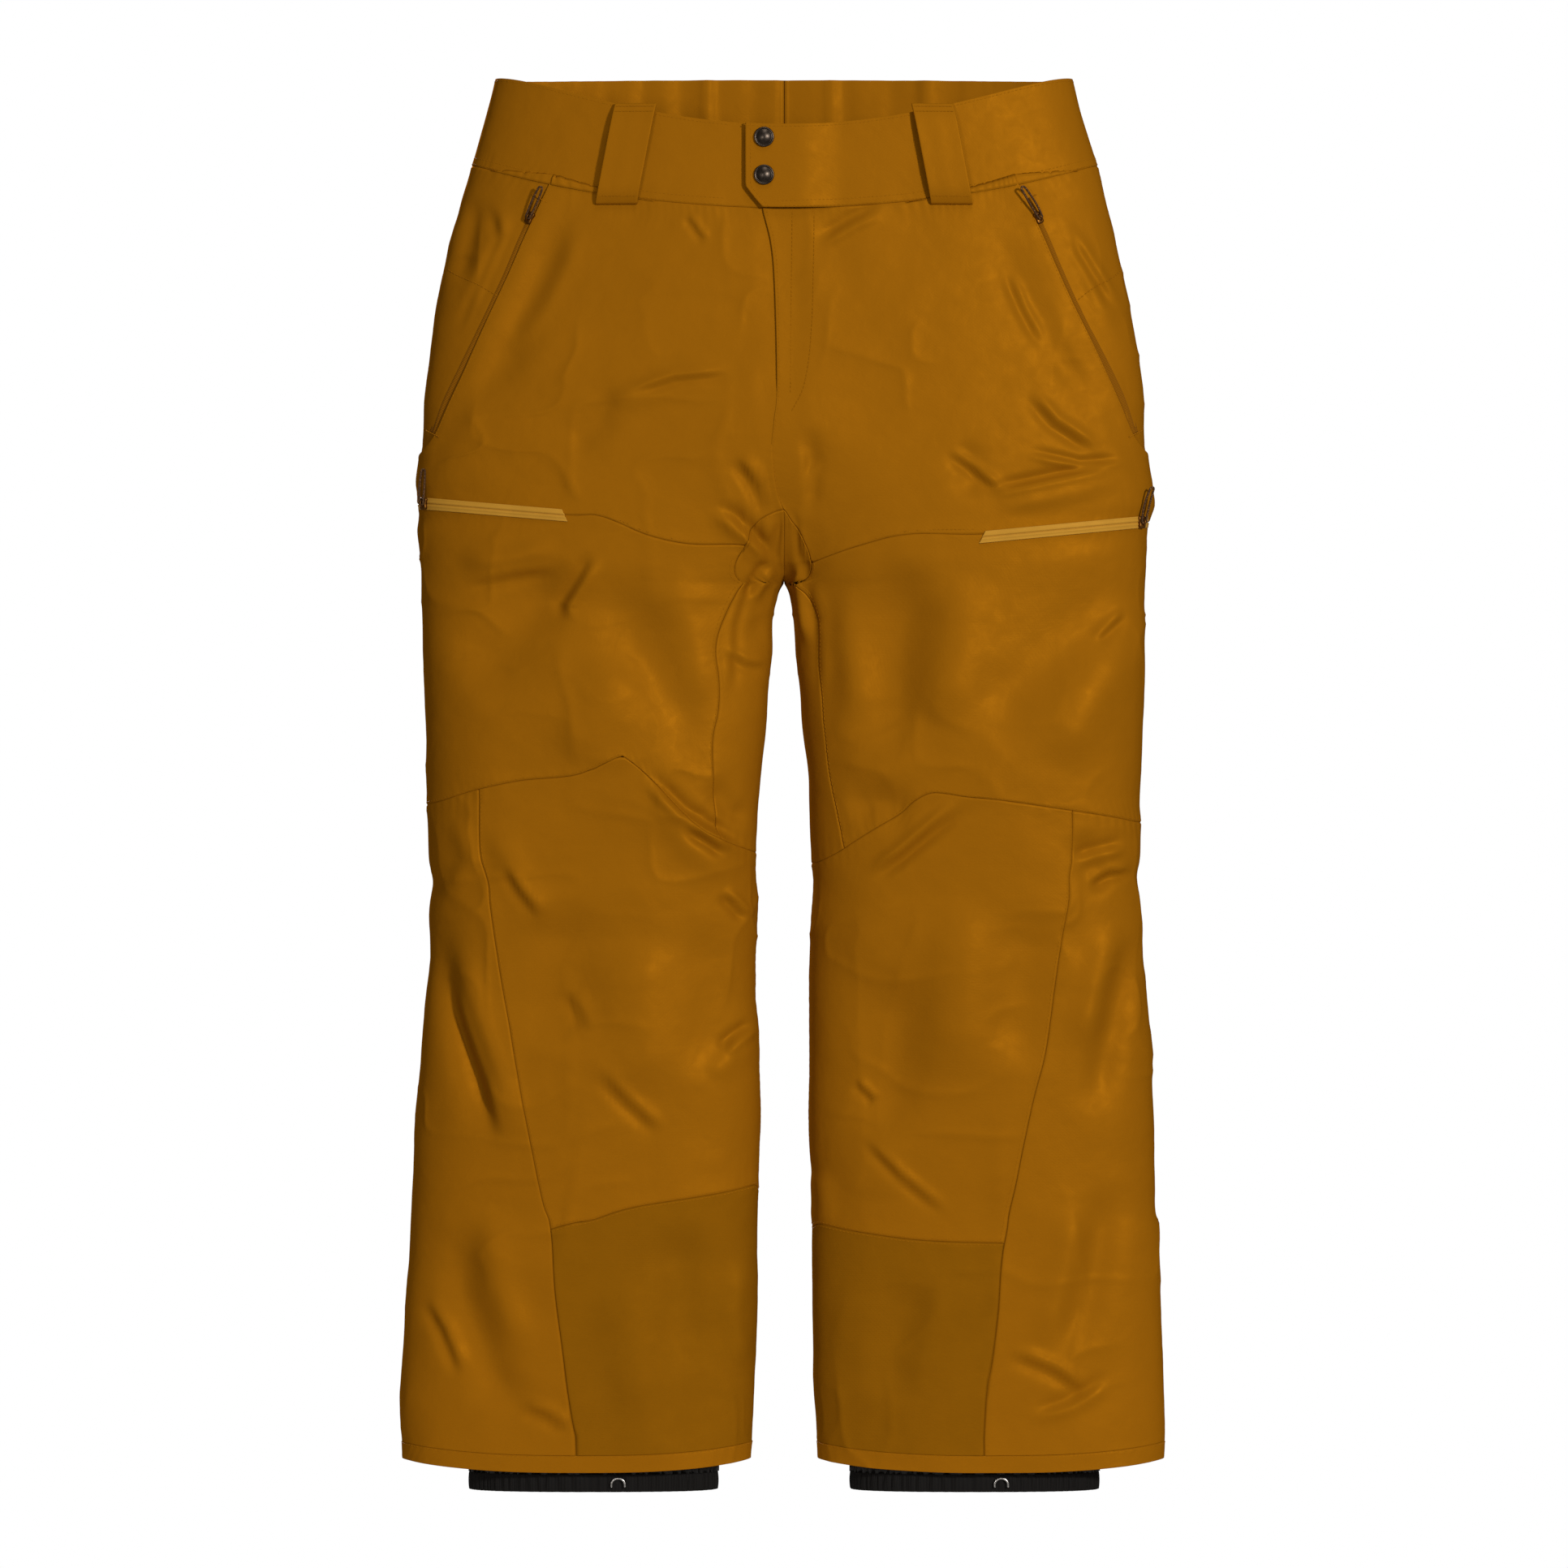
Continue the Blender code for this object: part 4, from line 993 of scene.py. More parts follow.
def pocket_lining():
    # Thin brushed polyester: matt and plain.
    made, *parts = new_material("brushed_polyester", Roughness=0.8, Specular_IOR_Level=0.1)
    place = mottled(*parts, linear("#8a5a0a"), 0.02, 0.9, 1.08)
    weave(*parts, place, 0.0014, 0.00008, 0.0008)
    return made


def pull_cord():
    # Braided polyester accessory cord: dark brown strands with lighter flecks, 1.1 mm apart.
    made, tree, shader = new_material("braided_cord", Roughness=0.78, Specular_IOR_Level=0.2)
    turned_map = {"Rotation": (0, 0, 0.7), "Scale": (900.0, 4.0, 1.0)}
    spiral = add(tree, "ShaderNodeMapping", {"Vector": cloth_map(tree)}, turned_map)
    links = {"Vector": spiral.outputs["Vector"]}
    fleck = add(tree, "ShaderNodeTexVoronoi", links, {"Scale": 1.0}).outputs["Distance"]
    light, dark = shade(linear("#8a5c2c"), 1.0), shade(settings().cord_colour, 0.8)
    coloured(tree, shader, fleck, light, dark, 0.12, 0.42)
    raised(tree, shader, fleck, 0.8, 0.0003)
    return made


def metal(name, code, roughness, grain):
    """A plated or lacquered metal with fine wear in its gloss and colour."""
    made, tree, shader = new_material(name, Metallic=1.0, Roughness=roughness)
    place = mottled(tree, shader, linear(code), 0.004, 0.82, 1.15)
    wear = noise(tree, place, 1 / grain, Detail=5.0)
    uneven_gloss(tree, shader, wear, roughness - 0.07, roughness + 0.1)
    return made


def snap_metal():
    # Gunmetal-plated brass, polished: dark with one soft highlight.
    return metal("gunmetal_plating", "#463d35", 0.34, 0.0012)


def slider_metal():
    # Lacquered zinc casting: dark brown and half matt.
    return metal("lacquered_zinc", "#70481c", 0.42, 0.0010)


def hook_wire():
    # Nickel-plated spring wire, drawn: bright.
    return metal("nickel_plated_wire", "#b4b0aa", 0.26, 0.0008)


def thread():
    # Spun polyester topstitching thread, a shade lighter than the shell, with a fine twist.
    made, tree, shader = new_material(
        "polyester_thread", Roughness=0.6, Specular_IOR_Level=0.12, Specular_Tint=OCHRE_GLOSS
    )
    place = mottled(tree, shader, settings().thread_colour, 0.0008, 0.85, 1.1)
    raised(tree, shader, noise(tree, place, 1800.0), 0.3, 0.0001)
    return made


def pale_floor():
    # Matt pale grey paper.
    made, *parts = new_material("pale_paper", Roughness=0.9)
    mottled(*parts, linear("#eceae7"), 0.5, 0.985, 1.0)
    return made


MADE = {}  # one material from each maker


def finish(maker):
    """The material of a maker, made on its first use."""
    if maker not in MADE:
        MADE[maker] = maker()
    return MADE[maker]


def fit(thing, body, slot, *nodes):
    """Rides a piece on its body and hides the frame's nodes it stands for. The slot is not used."""
    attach(thing, body)
    if nodes:
        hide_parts(*nodes)
    return thing


# ---- seam lines ---------------------------------------------------------------------------
SIDE_TURN = 0.515  # the side seam lies just behind the side
BACK_TURN = 0.78  # the seam down the back of the calf
# seam paths in mm, for the wearer's left and right leg
ARCH = {1: [(0, -338), (5.5, -346), (12.5, -356), (17.5, -366), (21.5, -379)],
        -1: [(0, -338), (-10, -341), (-19.5, -346.5), (-26, -355.5), (-30, -365.5)]}
YOKE = {1: [(21.5, -379), (59, -366), (97, -357.5), (150.5, -357.5), (210, -353.5), (273, -348.5)],
        -1: [(-30, -365.5), (-38.5, -365), (-73, -365), (-104.5, -358.5), (-129.5, -348),
             (-147, -342.5), (-167.5, -342.5), (-230.5, -338), (-274.5, -334)]}
YOKE_SIDE = {1: -0.3455, -1: -0.3315}
INSIDE_THIGH = {1: [(21.5, -379), (25, -421.5), (26.5, -459.5), (30, -497), (35, -541),
                    (42, -579), (46.5, -601)],
                -1: [(-30, -365.5), (-38.5, -384), (-46, -421.5), (-52, -459.5), (-54, -509.5),
                     (-53, -572.5), (-51, -593.5)]}
KNEE = {1: [(270, -579.5), (222.5, -571.5), (163, -563), (125, -558.5), (112.5, -558.5),
            (100, -565), (84.5, -577.5), (46.5, -601), (29, -610.5)],
        -1: [(-268, -564.5), (-236.5, -555), (-205, -548.5), (-164, -544.5), (-139, -535),
             (-126.5, -530), (-117, -535), (-73, -579), (-51, -593.5), (-29, -602)]}
KNEE_SIDE = {1: -0.5815, -1: -0.5680}
KNEE_INSIDE = {1: -0.6135, -1: -0.6050}
SIDE_FRONT = {1: [(223.5, -571.5), (221.5, -623), (213.5, -686), (204, -755), (191.5, -805.5),
                  (172.5, -899.5), (166, -962.5), (158.5, -1013), (155, -1060)],
              -1: [(-236.5, -555), (-235.5, -604), (-227, -654.5), (-222.5, -686),
                   (-211.5, -748.5), (-199, -818), (-187.5, -874.5), (-181, -896.5),
                   (-177.5, -950), (-171, -1000.5), (-161.5, -1060)]}
SCUFF = {1: [(171, -907.5), (103, -905), (59, -899.5), (27.5, -894)],
         -1: [(-181, -896.5), (-155, -890.5), (-104.5, -877.5), (-26, -864.5)]}
SCUFF_INSIDE = {1: -0.8960, -1: -0.8680}
FLY_EDGE = [(-16.5, -105), (-10, -132), (-7, -170), (-5.5, -242.5), (-8, -270.5), (-10, -295.5),
            (-6.5, -321), (0, -338)]
POCKET = [(178.9, -77), (187.6, -96), (229.3, -187), (271.0, -278)]
TAB_END = [(-30, -39), (-30, -87), (-16.5, -104.5)]
BACK_ARCH_TOP, BACK_ARCH_OUT = -0.350, (40, -386)  # of the gusset, behind
TAB_LIFT = 0.0050  # how far the tab's band stands off the one behind it
# the waistband's heights: top and foot at the side and at the back
BAND_SIDE, BACK_RISE, BAND_BACK = -0.068, 0.004, -0.074
# how far the front's top and foot drop below the side's, and how round each drop is
FRONT_DIP, FRONT_FOOT_DIP, DIP_BREADTH, DIP_POINT = 0.039, 0.036, 1.54, 1.44
HEM_SIDE, HEM_DIP, HEM_DEPTH = -1.0775, 0.0085, 0.0135  # foot at the side, drop in front, turn-up
SCUFF_BACK = -0.886  # top of the scuff guard at the seam down the calf
POCKET_FOOT = -0.296  # where the facing behind a hand pocket ends
FINE_STEP, HEM_STEP = 0.0026, 0.0022


def band_height(turn, top):
    """Front: side height less a drop of (1 - |cos a|^b)^p. Back: less a drop of sin^2 a."""
    angle = (0.5 - turn) * np.pi
    dip = 1 - np.abs(np.cos(angle)) ** DIP_BREADTH
    ahead = np.sin(angle) > 0
    behind = np.sin(angle) ** 2
    if top:
        return np.where(ahead, -FRONT_DIP * dip**DIP_POINT, BACK_RISE * behind)
    back = BAND_SIDE + (BAND_BACK - BAND_SIDE) * behind
    return np.where(ahead, BAND_SIDE - FRONT_FOOT_DIP * dip, back)


def hem_height(turn, above=0.0):
    """Side height less a drop of sin^2 a towards the front and the back."""
    return HEM_SIDE - HEM_DIP * np.sin((1 - 2 * turn) * np.pi) ** 2 + above


def hem_top(turn):
    """Where the panels end and the hem begins."""
    return float(hem_height(turn, HEM_DEPTH))


def band_line(start, end, top):
    turn = np.linspace(start, end, 120)
    return np.stack([turn, band_height(turn, top)], -1)


def hem_line(start, end, above=0.0):
    turn = np.linspace(start, end, 120)
    return np.stack([turn, hem_height(turn, above)], -1)


def upright(turn, start, end):
    return np.stack([np.full(60, turn), np.linspace(start, end, 60)], -1)


def join(*parts):
    return np.vstack(parts)


def nearest_index(path, point):
    """Which of a path's points lies nearest to a given one."""
    return int(np.argmin(np.linalg.norm((path - point) * METRIC, axis=1)))


def front_seams(way):
    """The seams of the front of one half, as smooth paths of (turn, height)."""
    side, inside = [SIDE_TURN, KNEE_SIDE[way]], [0.0, KNEE_INSIDE[way]]
    thigh = rounded(flat_path(INSIDE_THIGH[way], way))
    knee = rounded(join([side], flat_path(KNEE[way], way), [inside]), 300)
    junction = nearest_index(knee, flat_path(INSIDE_THIGH[way], way)[-1])
    thigh[-1] = knee[junction]
    shin = rounded(flat_path(SIDE_FRONT[way], way), 300)
    start = nearest_index(knee, shin[0])
    shin[0] = knee[start]
    shin[-1, 1] = hem_top(shin[-1, 0])
    behind = [[0.0, SCUFF_INSIDE[way]], [-0.11, -0.884], [BACK_TURN - 1, SCUFF_BACK]]
    scuff = rounded(join(flat_path(SCUFF[way], way), behind), 300)
    corner = nearest_index(shin, scuff[0])
    scuff[0] = shin[corner]
    middle = int(np.argmin(np.abs(scuff[:, 0])))
    scuff[middle, 0] = 0.0
    return {
        "arch": rounded(flat_path(ARCH[way], way)),
        "yoke": rounded(join(flat_path(YOKE[way], way), [[SIDE_TURN, YOKE_SIDE[way]]])),
        "thigh": thigh,
        "knee_outer": knee[: start + 1], "knee_inner": knee[start:],
        "knee_thigh": knee[: junction + 1], "knee_gusset": knee[junction:],
        "shin": shin, "shin_upper": shin[: corner + 1], "shin_lower": shin[corner:],
        "scuff": scuff, "scuff_front": scuff[: middle + 1], "scuff_back": scuff[middle:],
        "scuff_inside": scuff[middle, 1],
    }


def back_seams(way):
    """The same for the back."""
    corner = flat_path([(way * BACK_ARCH_OUT[0], BACK_ARCH_OUT[1])], way, True)[0]
    fold = [[SIDE_TURN, YOKE_SIDE[way]], [0.60, -0.350], [0.70, -0.362], [0.80, -0.374], corner]
    inside = rounded([corner, [0.965, -0.430], [0.955, -0.520], [0.945, KNEE_INSIDE[way] + 0.006]])
    knee = [[SIDE_TURN, KNEE_SIDE[way]], [0.65, -0.566], [0.80, -0.566], inside[-1]]
    return {
        "back_low": rounded(fold),
        "back_arch": rounded([corner, [(corner[0] + 1) / 2, -0.366], [1.0, BACK_ARCH_TOP]]),
        "back_thigh": inside,
        "back_knee": rounded(knee),
        "back_knee_inner": rounded([inside[-1], [1.0, KNEE_INSIDE[way]]]),
    }


LINES = {}  # the seams of each half, worked out once


def lines(way):
    if way not in LINES:
        LINES[way] = {**front_seams(way), **back_seams(way)}
    return LINES[way]


def patch(way, above, below, before, after, /, lift=None, step=None, **edges):
    return Patch(way, above, below, before, after, edges, step or settings().grid_step, lift)


# kinds of edge, each with the height of its puckers in millimetres
SEAM, PUCKERED, HEM_SEAM = ("seam", 0.12), ("seam", 0.34), ("seam", 0.2)
LAP, UNDER, FREE = ("lap", 0.10), ("under", 0.0), ("free", 0.10)
FLY_OVER, FLY_UNDER = ("fly_over", 0.10), ("fly_under", 0.10)


def patch_stitches(group, piece, edge, distances, start=0.01, end=0.99):
    """Rows of stitches at distances in mm from an edge, between two shares of it."""
    for distance in distances:
        stitch(group, *piece.row(edge, distance * MM, start, end))


def panel(name, patches, wall=None, maker=shell_cloth, slot="shell_cloth"):
    """Sews a node's patches into one piece of cloth on the garment."""
    fit(sew(name, patches, maker, wall), "garment", slot, name)


def box(node):
    """Both corners, the middle and the half sizes of a node's box, as arrays."""
    low, high = (np.array(corner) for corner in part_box(node))
    return low, high, (low + high) / 2, (high - low) / 2


# ---- pieces -------------------------------------------------------------------------------
def tab_lift(plain):
    """The front band of the wearer's left rises over the right one towards the tab."""
    x = plain[..., 0]
    return TAB_LIFT * smooth((0.046 - x) / 0.034)


# hollows between the gathers of the back: middle and half width in metres, depth in mm
BACK_HOLLOWS = [(-0.060, 0.004, 2.4), (0.037, 0.005, 2.8), (0.112, 0.006, 2.2)]
ELASTIC_END, ELASTIC_FADE = 0.16, 0.04


def back_gathers(plain):
    """Upright gathers of the elastic back: a sine of x with slow noise, less a few bells."""
    x = plain[..., 0]
    drift = value_noise(plain * [1, 0, 0.3], 0.03, 11)
    wide = np.sin(2 * np.pi * x / 0.041 + 2.2 * drift) * 0.7
    fine = np.sin(2 * np.pi * x / 0.017 + 3 * drift) * 0.12
    hollows = sum(h * np.exp(-(((x - c) / w) ** 2)) for c, w, h in BACK_HOLLOWS)
    return MM * smooth((ELASTIC_END - np.abs(x)) / ELASTIC_FADE) * (wide + fine - hollows)


def make_waistband():
    """Four lengths of band. The front one of the wearer's left is also the tab."""
    side = upright(SIDE_TURN, 0.0, BAND_SIDE)
    for name, way in SIDES.items():
        back = patch(
            way, band_line(SIDE_TURN, 1.0, True), band_line(SIDE_TURN, 1.0, False),
            side, upright(1.0, BACK_RISE, BAND_BACK), lift=back_gathers,
            top=FREE, bottom=PUCKERED, left=SEAM, right=SEAM,
        )
        panel(f"waistband_back_{name}", [back], BAND_WALL)
        patch_stitches(name, back, "top", [2.5, 9.0])
        patch_stitches(name, back, "bottom", [1.8, 7.0])
    way = SIDES["right"]
    start = float(turn_at(0.010, -0.06, way))
    front = patch(
        way, band_line(start, SIDE_TURN, True), band_line(start, SIDE_TURN, False),
        upright(start, float(band_height(start, True)), float(band_height(start, False))),
        side, top=FREE, bottom=PUCKERED, left=UNDER, right=SEAM,
    )
    panel("waistband_front_right", [front], BAND_WALL)
    patch_stitches("right", front, "top", [2.0], 0.08)
    patch_stitches("right", front, "bottom", [1.6, 6.5], 0.08)
    way = SIDES["left"]
    high, bend, low = flat_path(TAB_END, way)
    high[1], low[1] = band_height(high[0], True), band_height(low[0], False)
    end = join(
        high + (bend - high) * np.linspace(0, 1, 60)[:, None],
        bend + (low - bend) * np.linspace(0.02, 1, 30)[:, None],
    )
    front = patch(
        way, band_line(high[0], SIDE_TURN, True), band_line(low[0], SIDE_TURN, False), end, side,
        lift=tab_lift, top=FREE, bottom=PUCKERED, left=FREE, right=SEAM,
    )
    band = sew("waistband_front_left", [front], shell_cloth, TAB_WALL)
    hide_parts("waistband_front_left", "waist_tab")
    patch_stitches("tab", front, "left", [2.0], 0.02, 0.98)
    patch_stitches("tab", front, "top", [2.0], 0.0, 0.97)
    patch_stitches("tab", front, "bottom", [1.6, 6.5], 0.02, 0.97)
    for thing in (band, thread_mesh("stitching_tab", "tab")):
        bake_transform(thing)


UNDERLAP = 5.0  # millimetres that the front of the wearer's right runs on behind the fly
FACING_IN = 8  # and that the facing runs on behind a pocket's edge


def make_front_panels():
    """Each front from the band to the yoke, with the facing behind its pocket."""
    for name, way in SIDES.items():
        line = lines(way)
        shift = 0.0 if way > 0 else UNDERLAP
        last = len(FLY_EDGE) - 1
        edge = [(x + shift * (1 - k / last), z) for k, (x, z) in enumerate(FLY_EDGE)]
        centre = rounded(flat_path(edge, way))
        centre[0, 1] = band_height(centre[0, 0], False)
        centre[-1] = line["arch"][0]
        pocket = flat_path([(way * x, z) for x, z in POCKET], way)
        side = [[SIDE_TURN, -0.300], [SIDE_TURN, YOKE_SIDE[way]]]
        outer = rounded(join(pocket, side), 240)
        outer[:, 0] = np.minimum(outer[:, 0], SIDE_TURN)
        outer[0, 1] = band_height(outer[0, 0], False)
        main = patch(
            way, band_line(centre[0, 0], outer[0, 0], False), join(line["arch"], line["yoke"][1:]),
            centre, outer, top=PUCKERED, bottom=PUCKERED,
            left=FLY_OVER if way > 0 else FLY_UNDER, right=LAP,
        )
        under = rounded(flat_path([(way * (x - FACING_IN), z) for x, z in POCKET], way))
        under[0, 1] = band_height(under[0, 0], False)
        facing = patch(
            way, band_line(under[0, 0], SIDE_TURN, False),
            np.linspace(under[-1], [SIDE_TURN, POCKET_FOOT], 20),
            under, upright(SIDE_TURN, BAND_SIDE, POCKET_FOOT), step=FINE_STEP,
            top=PUCKERED, left=UNDER, right=SEAM, bottom=UNDER,
        )
        panel(f"front_panel_{name}", [main, facing])
        patch_stitches(name, main, "right", [2.0], 0.02, 0.70)
        if way > 0:
            patch_stitches(name, main, "left", [1.6], 0.0, 0.98)
        for run in STITCH_RUNS[way]:
            stitch(name, *surface_run(run, way))


# short rows of stitches on the fronts, as paths in mm
STITCH_RUNS = {
    1: [[(6.5, -108), (5.5, -182.5), (5, -246.5)], [(23.5, -108), (21.5, -195), (16.5, -238),
         (6.5, -261)],
        [(263, -150), (243, -163.5), (227, -175.5)], [(59, -363.5), (97, -355), (146, -353.5)]],
    -1: [[(-261.5, -150), (-241.5, -160.5), (-224, -170.5)], [(-38.5, -362.5), (-73, -362.5),
          (-104.5, -356), (-129.5, -345.5), (-145.5, -340)]],
}


def make_seat_panels():
    """The seat from the band to the fold under it, on each side."""
    for name, way in SIDES.items():
        line = lines(way)
        seat = patch(
            way, band_line(SIDE_TURN, 1.0, False), join(line["back_low"], line["back_arch"][1:]),
            upright(SIDE_TURN, BAND_SIDE, YOKE_SIDE[way]), upright(1.0, BAND_BACK, BACK_ARCH_TOP),
            top=PUCKERED, bottom=PUCKERED, left=SEAM, right=SEAM,
        )
        panel(f"seat_panel_{name}", [seat])
        patch_stitches(name, seat, "bottom", [1.8, 6.5])
        patch_stitches(name, seat, "right", [1.8])


def make_thighs():
    """Front and back of each thigh, from the yoke to the knee seam."""
    for name, way in SIDES.items():
        line = lines(way)
        side = upright(SIDE_TURN, YOKE_SIDE[way], KNEE_SIDE[way])
        front = patch(
            way, line["yoke"], line["knee_thigh"][::-1], line["thigh"], side,
            top=PUCKERED, bottom=PUCKERED, left=PUCKERED, right=SEAM,
        )
        panel(f"thigh_front_{name}", [front])
        patch_stitches(name, front, "left", [1.8])
        patch_stitches(name, front, "bottom", [1.8])
        back = patch(
            way, line["back_low"], line["back_knee"], side, line["back_thigh"],
            top=SEAM, bottom=PUCKERED, left=SEAM, right=SEAM,
        )
        panel(f"thigh_back_{name}", [back])
        patch_stitches(name, back, "right", [1.8])


def gusset_middle(turn, top, way):
    """Down the middle: h = crotch + (top - crotch) cos a, then straight down inside the leg."""
    arch = CROTCH + (top - CROTCH) * np.cos(np.linspace(0, np.pi / 2, 60))
    height = np.concatenate([arch, np.linspace(CROTCH, KNEE_INSIDE[way], 120)[1:]])
    return np.stack([np.full(len(height), turn), height], -1)


def make_gusset():
    """One piece through the crotch and down inside both thighs."""
    pieces = []
    for name, way in SIDES.items():
        line = lines(way)
        front = patch(
            way, line["arch"], line["knee_gusset"][::-1],
            gusset_middle(0.0, line["arch"][0, 1], way), line["thigh"], step=FINE_STEP,
            top=PUCKERED, bottom=PUCKERED, right=SEAM,
        )
        back = patch(
            way, line["back_arch"], line["back_knee_inner"], line["back_thigh"],
            gusset_middle(1.0, BACK_ARCH_TOP, way), step=FINE_STEP,
            top=SEAM, bottom=PUCKERED, left=SEAM,
        )
        pieces += [front, back]
        patch_stitches(name, front, "top", [1.8])
    panel("crotch_gusset", pieces)


def make_shins():
    """Below the knee: the front, the outer side and the calf of each leg."""
    for name, way in SIDES.items():
        line = lines(way)
        side = upright(SIDE_TURN, KNEE_SIDE[way], hem_top(SIDE_TURN))
        front = patch(
            way, line["knee_inner"][::-1], line["scuff_front"][::-1],
            upright(0.0, KNEE_INSIDE[way], line["scuff_inside"]), line["shin_upper"],
            top=PUCKERED, bottom=SEAM, left=SEAM, right=SEAM,
        )
        panel(f"knee_front_{name}", [front])
        patch_stitches(name, front, "right", [1.8])
        patch_stitches(name, front, "bottom", [1.8])
        outer = patch(
            way, line["knee_outer"][::-1], hem_line(line["shin"][-1, 0], SIDE_TURN, HEM_DEPTH),
            line["shin"], side, top=PUCKERED, left=SEAM, right=SEAM,
        )
        panel(f"cuff_outer_{name}", [outer])
        knee = join(line["back_knee"], line["back_knee_inner"][1:])
        split = int(np.argmin(np.abs(knee[:, 0] - BACK_TURN)))
        column = join([knee[split]], upright(BACK_TURN, knee[split, 1], SCUFF_BACK)[1:])
        down = join(column, upright(BACK_TURN, SCUFF_BACK, hem_top(BACK_TURN))[1:])
        calf = patch(
            way, knee[: split + 1], hem_line(SIDE_TURN, BACK_TURN, HEM_DEPTH), side, down,
            top=PUCKERED, left=SEAM, right=SEAM,
        )
        inner = patch(
            way, knee[split:], line["scuff_back"][::-1] + [1.0, 0.0], column,
            upright(1.0, KNEE_INSIDE[way], line["scuff_inside"]),
            top=PUCKERED, bottom=SEAM, left=SEAM, right=SEAM,
        )
        panel(f"calf_back_{name}", [calf, inner])
        patch_stitches(name, calf, "right", [1.8])


def make_cuffs():
    """Scuff guards inside the ankles, and the hems."""
    for name, way in SIDES.items():
        line = lines(way)
        turn = BACK_TURN - 1
        guard = patch(
            way, line["scuff"][::-1], hem_line(turn, line["shin"][-1, 0], HEM_DEPTH),
            upright(turn, SCUFF_BACK, hem_top(BACK_TURN)), line["shin_lower"],
            top=PUCKERED, left=SEAM, right=SEAM,
        )
        panel(f"scuff_guard_{name}", [guard], None, scuff_cloth, "scuff_cloth")
        patch_stitches(name, guard, "top", [1.6])
        low = HEM_SIDE + HEM_DEPTH
        hem = patch(
            way, hem_line(0.0, 1.0, HEM_DEPTH), hem_line(0.0, 1.0), upright(0.0, low, HEM_SIDE),
            upright(1.0, low, HEM_SIDE), step=HEM_STEP, top=HEM_SEAM, bottom=FREE,
        )
        panel(f"hem_{name}", [hem], BAND_WALL)
        patch_stitches(name, hem, "top", [1.2], 0.0, 1.0)


# the gaiter's oval section, and the height and thickness of its elastic's roll
LEG_MIDDLE, GAITER_HALF_WIDTH, GAITER_HALF_DEPTH = 0.149, 0.0965, 0.0360
GAITER_HEIGHTS, ELASTIC_HEIGHTS = (-0.930, -1.0880), (-1.0875, -1.1017)
GAITER_ROWS, ELASTIC_ROWS, GAITER_COLUMNS = 40, 12, 520


def gathers(angle, height, seed, waves):
    """Upright gathers in mm: a sum of h sin(n a + s drift), with slow noise as the drift."""
    place = np.stack(np.broadcast_arrays(angle * 0.4, height, angle * 0), -1)
    drift = value_noise(place, 0.02, seed)
    return sum(h * np.sin(count * angle + sway * drift) for h, count, sway in waves)


def loose_gathers(angle, height, way):
    """Full at the foot and pulled in towards the top."""
    tight = smooth((height + 1.0885) / 0.05)
    folds = gathers(angle, height, 20 + way, [(1.1, 58, 2.5), (0.7, 27, 3)])
    return MM * (1 - 0.6 * tight) * folds + 0.001 * tight


def elastic_gathers(angle, height, way):
    """A soft roll, 1 - q^2 / 4 over the height of the elastic, with close gathers on it."""
    roll = 1 - ((height + 1.0951) / 0.0066) ** 2 * 0.25
    return MM * (gathers(angle, height, 30 + way, [(0.6, 70, 2.0)]) * roll + 1.4 * roll - 0.6)


def gaiter_tube(node, way, span, rows, shape, maker, slot):
    """A squared oval tube, pushed out by its gathers g(a, h): (A + g) cos^p, (B + g) sin^p."""
    angle = np.linspace(0, 2 * np.pi, GAITER_COLUMNS, endpoint=False)[None, :]
    height = np.linspace(*span, rows)[:, None]
    out = shape(angle, height, way)
    x = way * LEG_MIDDLE + (GAITER_HALF_WIDTH + out) * signed_power(np.cos(angle))
    y = -(GAITER_HALF_DEPTH + out) * signed_power(np.sin(angle))
    points = np.stack(np.broadcast_arrays(x, y, height), -1)
    uv = np.stack(np.broadcast_arrays(angle * 0.07, height), -1)
    faces = grid_faces(rows, GAITER_COLUMNS, closed_columns=True)
    thing = mesh_object(node, points, faces, maker, uv)
    face_out(thing, (points - [way * LEG_MIDDLE, 0, 0]).reshape(-1, 3) * [1, 1, 0])
    fit(thicken(thing, GAITER_WALL), "garment", slot, node)


HOOK_HALF_WIDTH, HOOK_BOW, HOOK_DROP, HOOK_RADIUS = 0.0052, 0.0045, 0.0050, 0.0009


def make_gaiters():
    """Gaiter and elastic as tubes, and a wire hook: x = c - w cos a, z = top + b sin a."""
    for name, way in SIDES.items():
        gaiter_tube(
            f"gaiter_{name}", way, GAITER_HEIGHTS, GAITER_ROWS, loose_gathers,
            gaiter_cloth, "gaiter_cloth",
        )
        gaiter_tube(
            f"gaiter_elastic_{name}", way, ELASTIC_HEIGHTS, ELASTIC_ROWS, elastic_gathers,
            gaiter_elastic, "gaiter_elastic",
        )
        node = f"gaiter_hook_{name}"
        low, high, middle, _ = box(node)
        face, turn = low[1] - 0.0002, np.linspace(0, np.pi, 40)
        arch_x = middle[0] - HOOK_HALF_WIDTH * np.cos(turn)
        arch_z = high[2] - HOOK_DROP + HOOK_BOW * np.sin(turn)
        foot = low[2] + 0.0005
        first, last = np.linspace(foot, arch_z[0], 12), np.linspace(foot, arch_z[-1], 12)[::-1]
        x = np.concatenate([np.full(11, arch_x[0]), arch_x, np.full(11, arch_x[-1])])
        z = np.concatenate([first[:-1], arch_z, last[1:]])
        path = np.stack([x, np.full(len(x), face), z], -1)
        wire = tube(node, path, HOOK_RADIUS, (0, -1, 0), hook_wire)
        fit(wire, "garment", "hook_wire", node)


# a strap's place, size and lean
LOOP_MIDDLE, LOOP_WIDTH, LOOP_HALF_HEIGHT, LOOP_LEAN = 0.1225, 0.0325, 0.0395, math.radians(11)
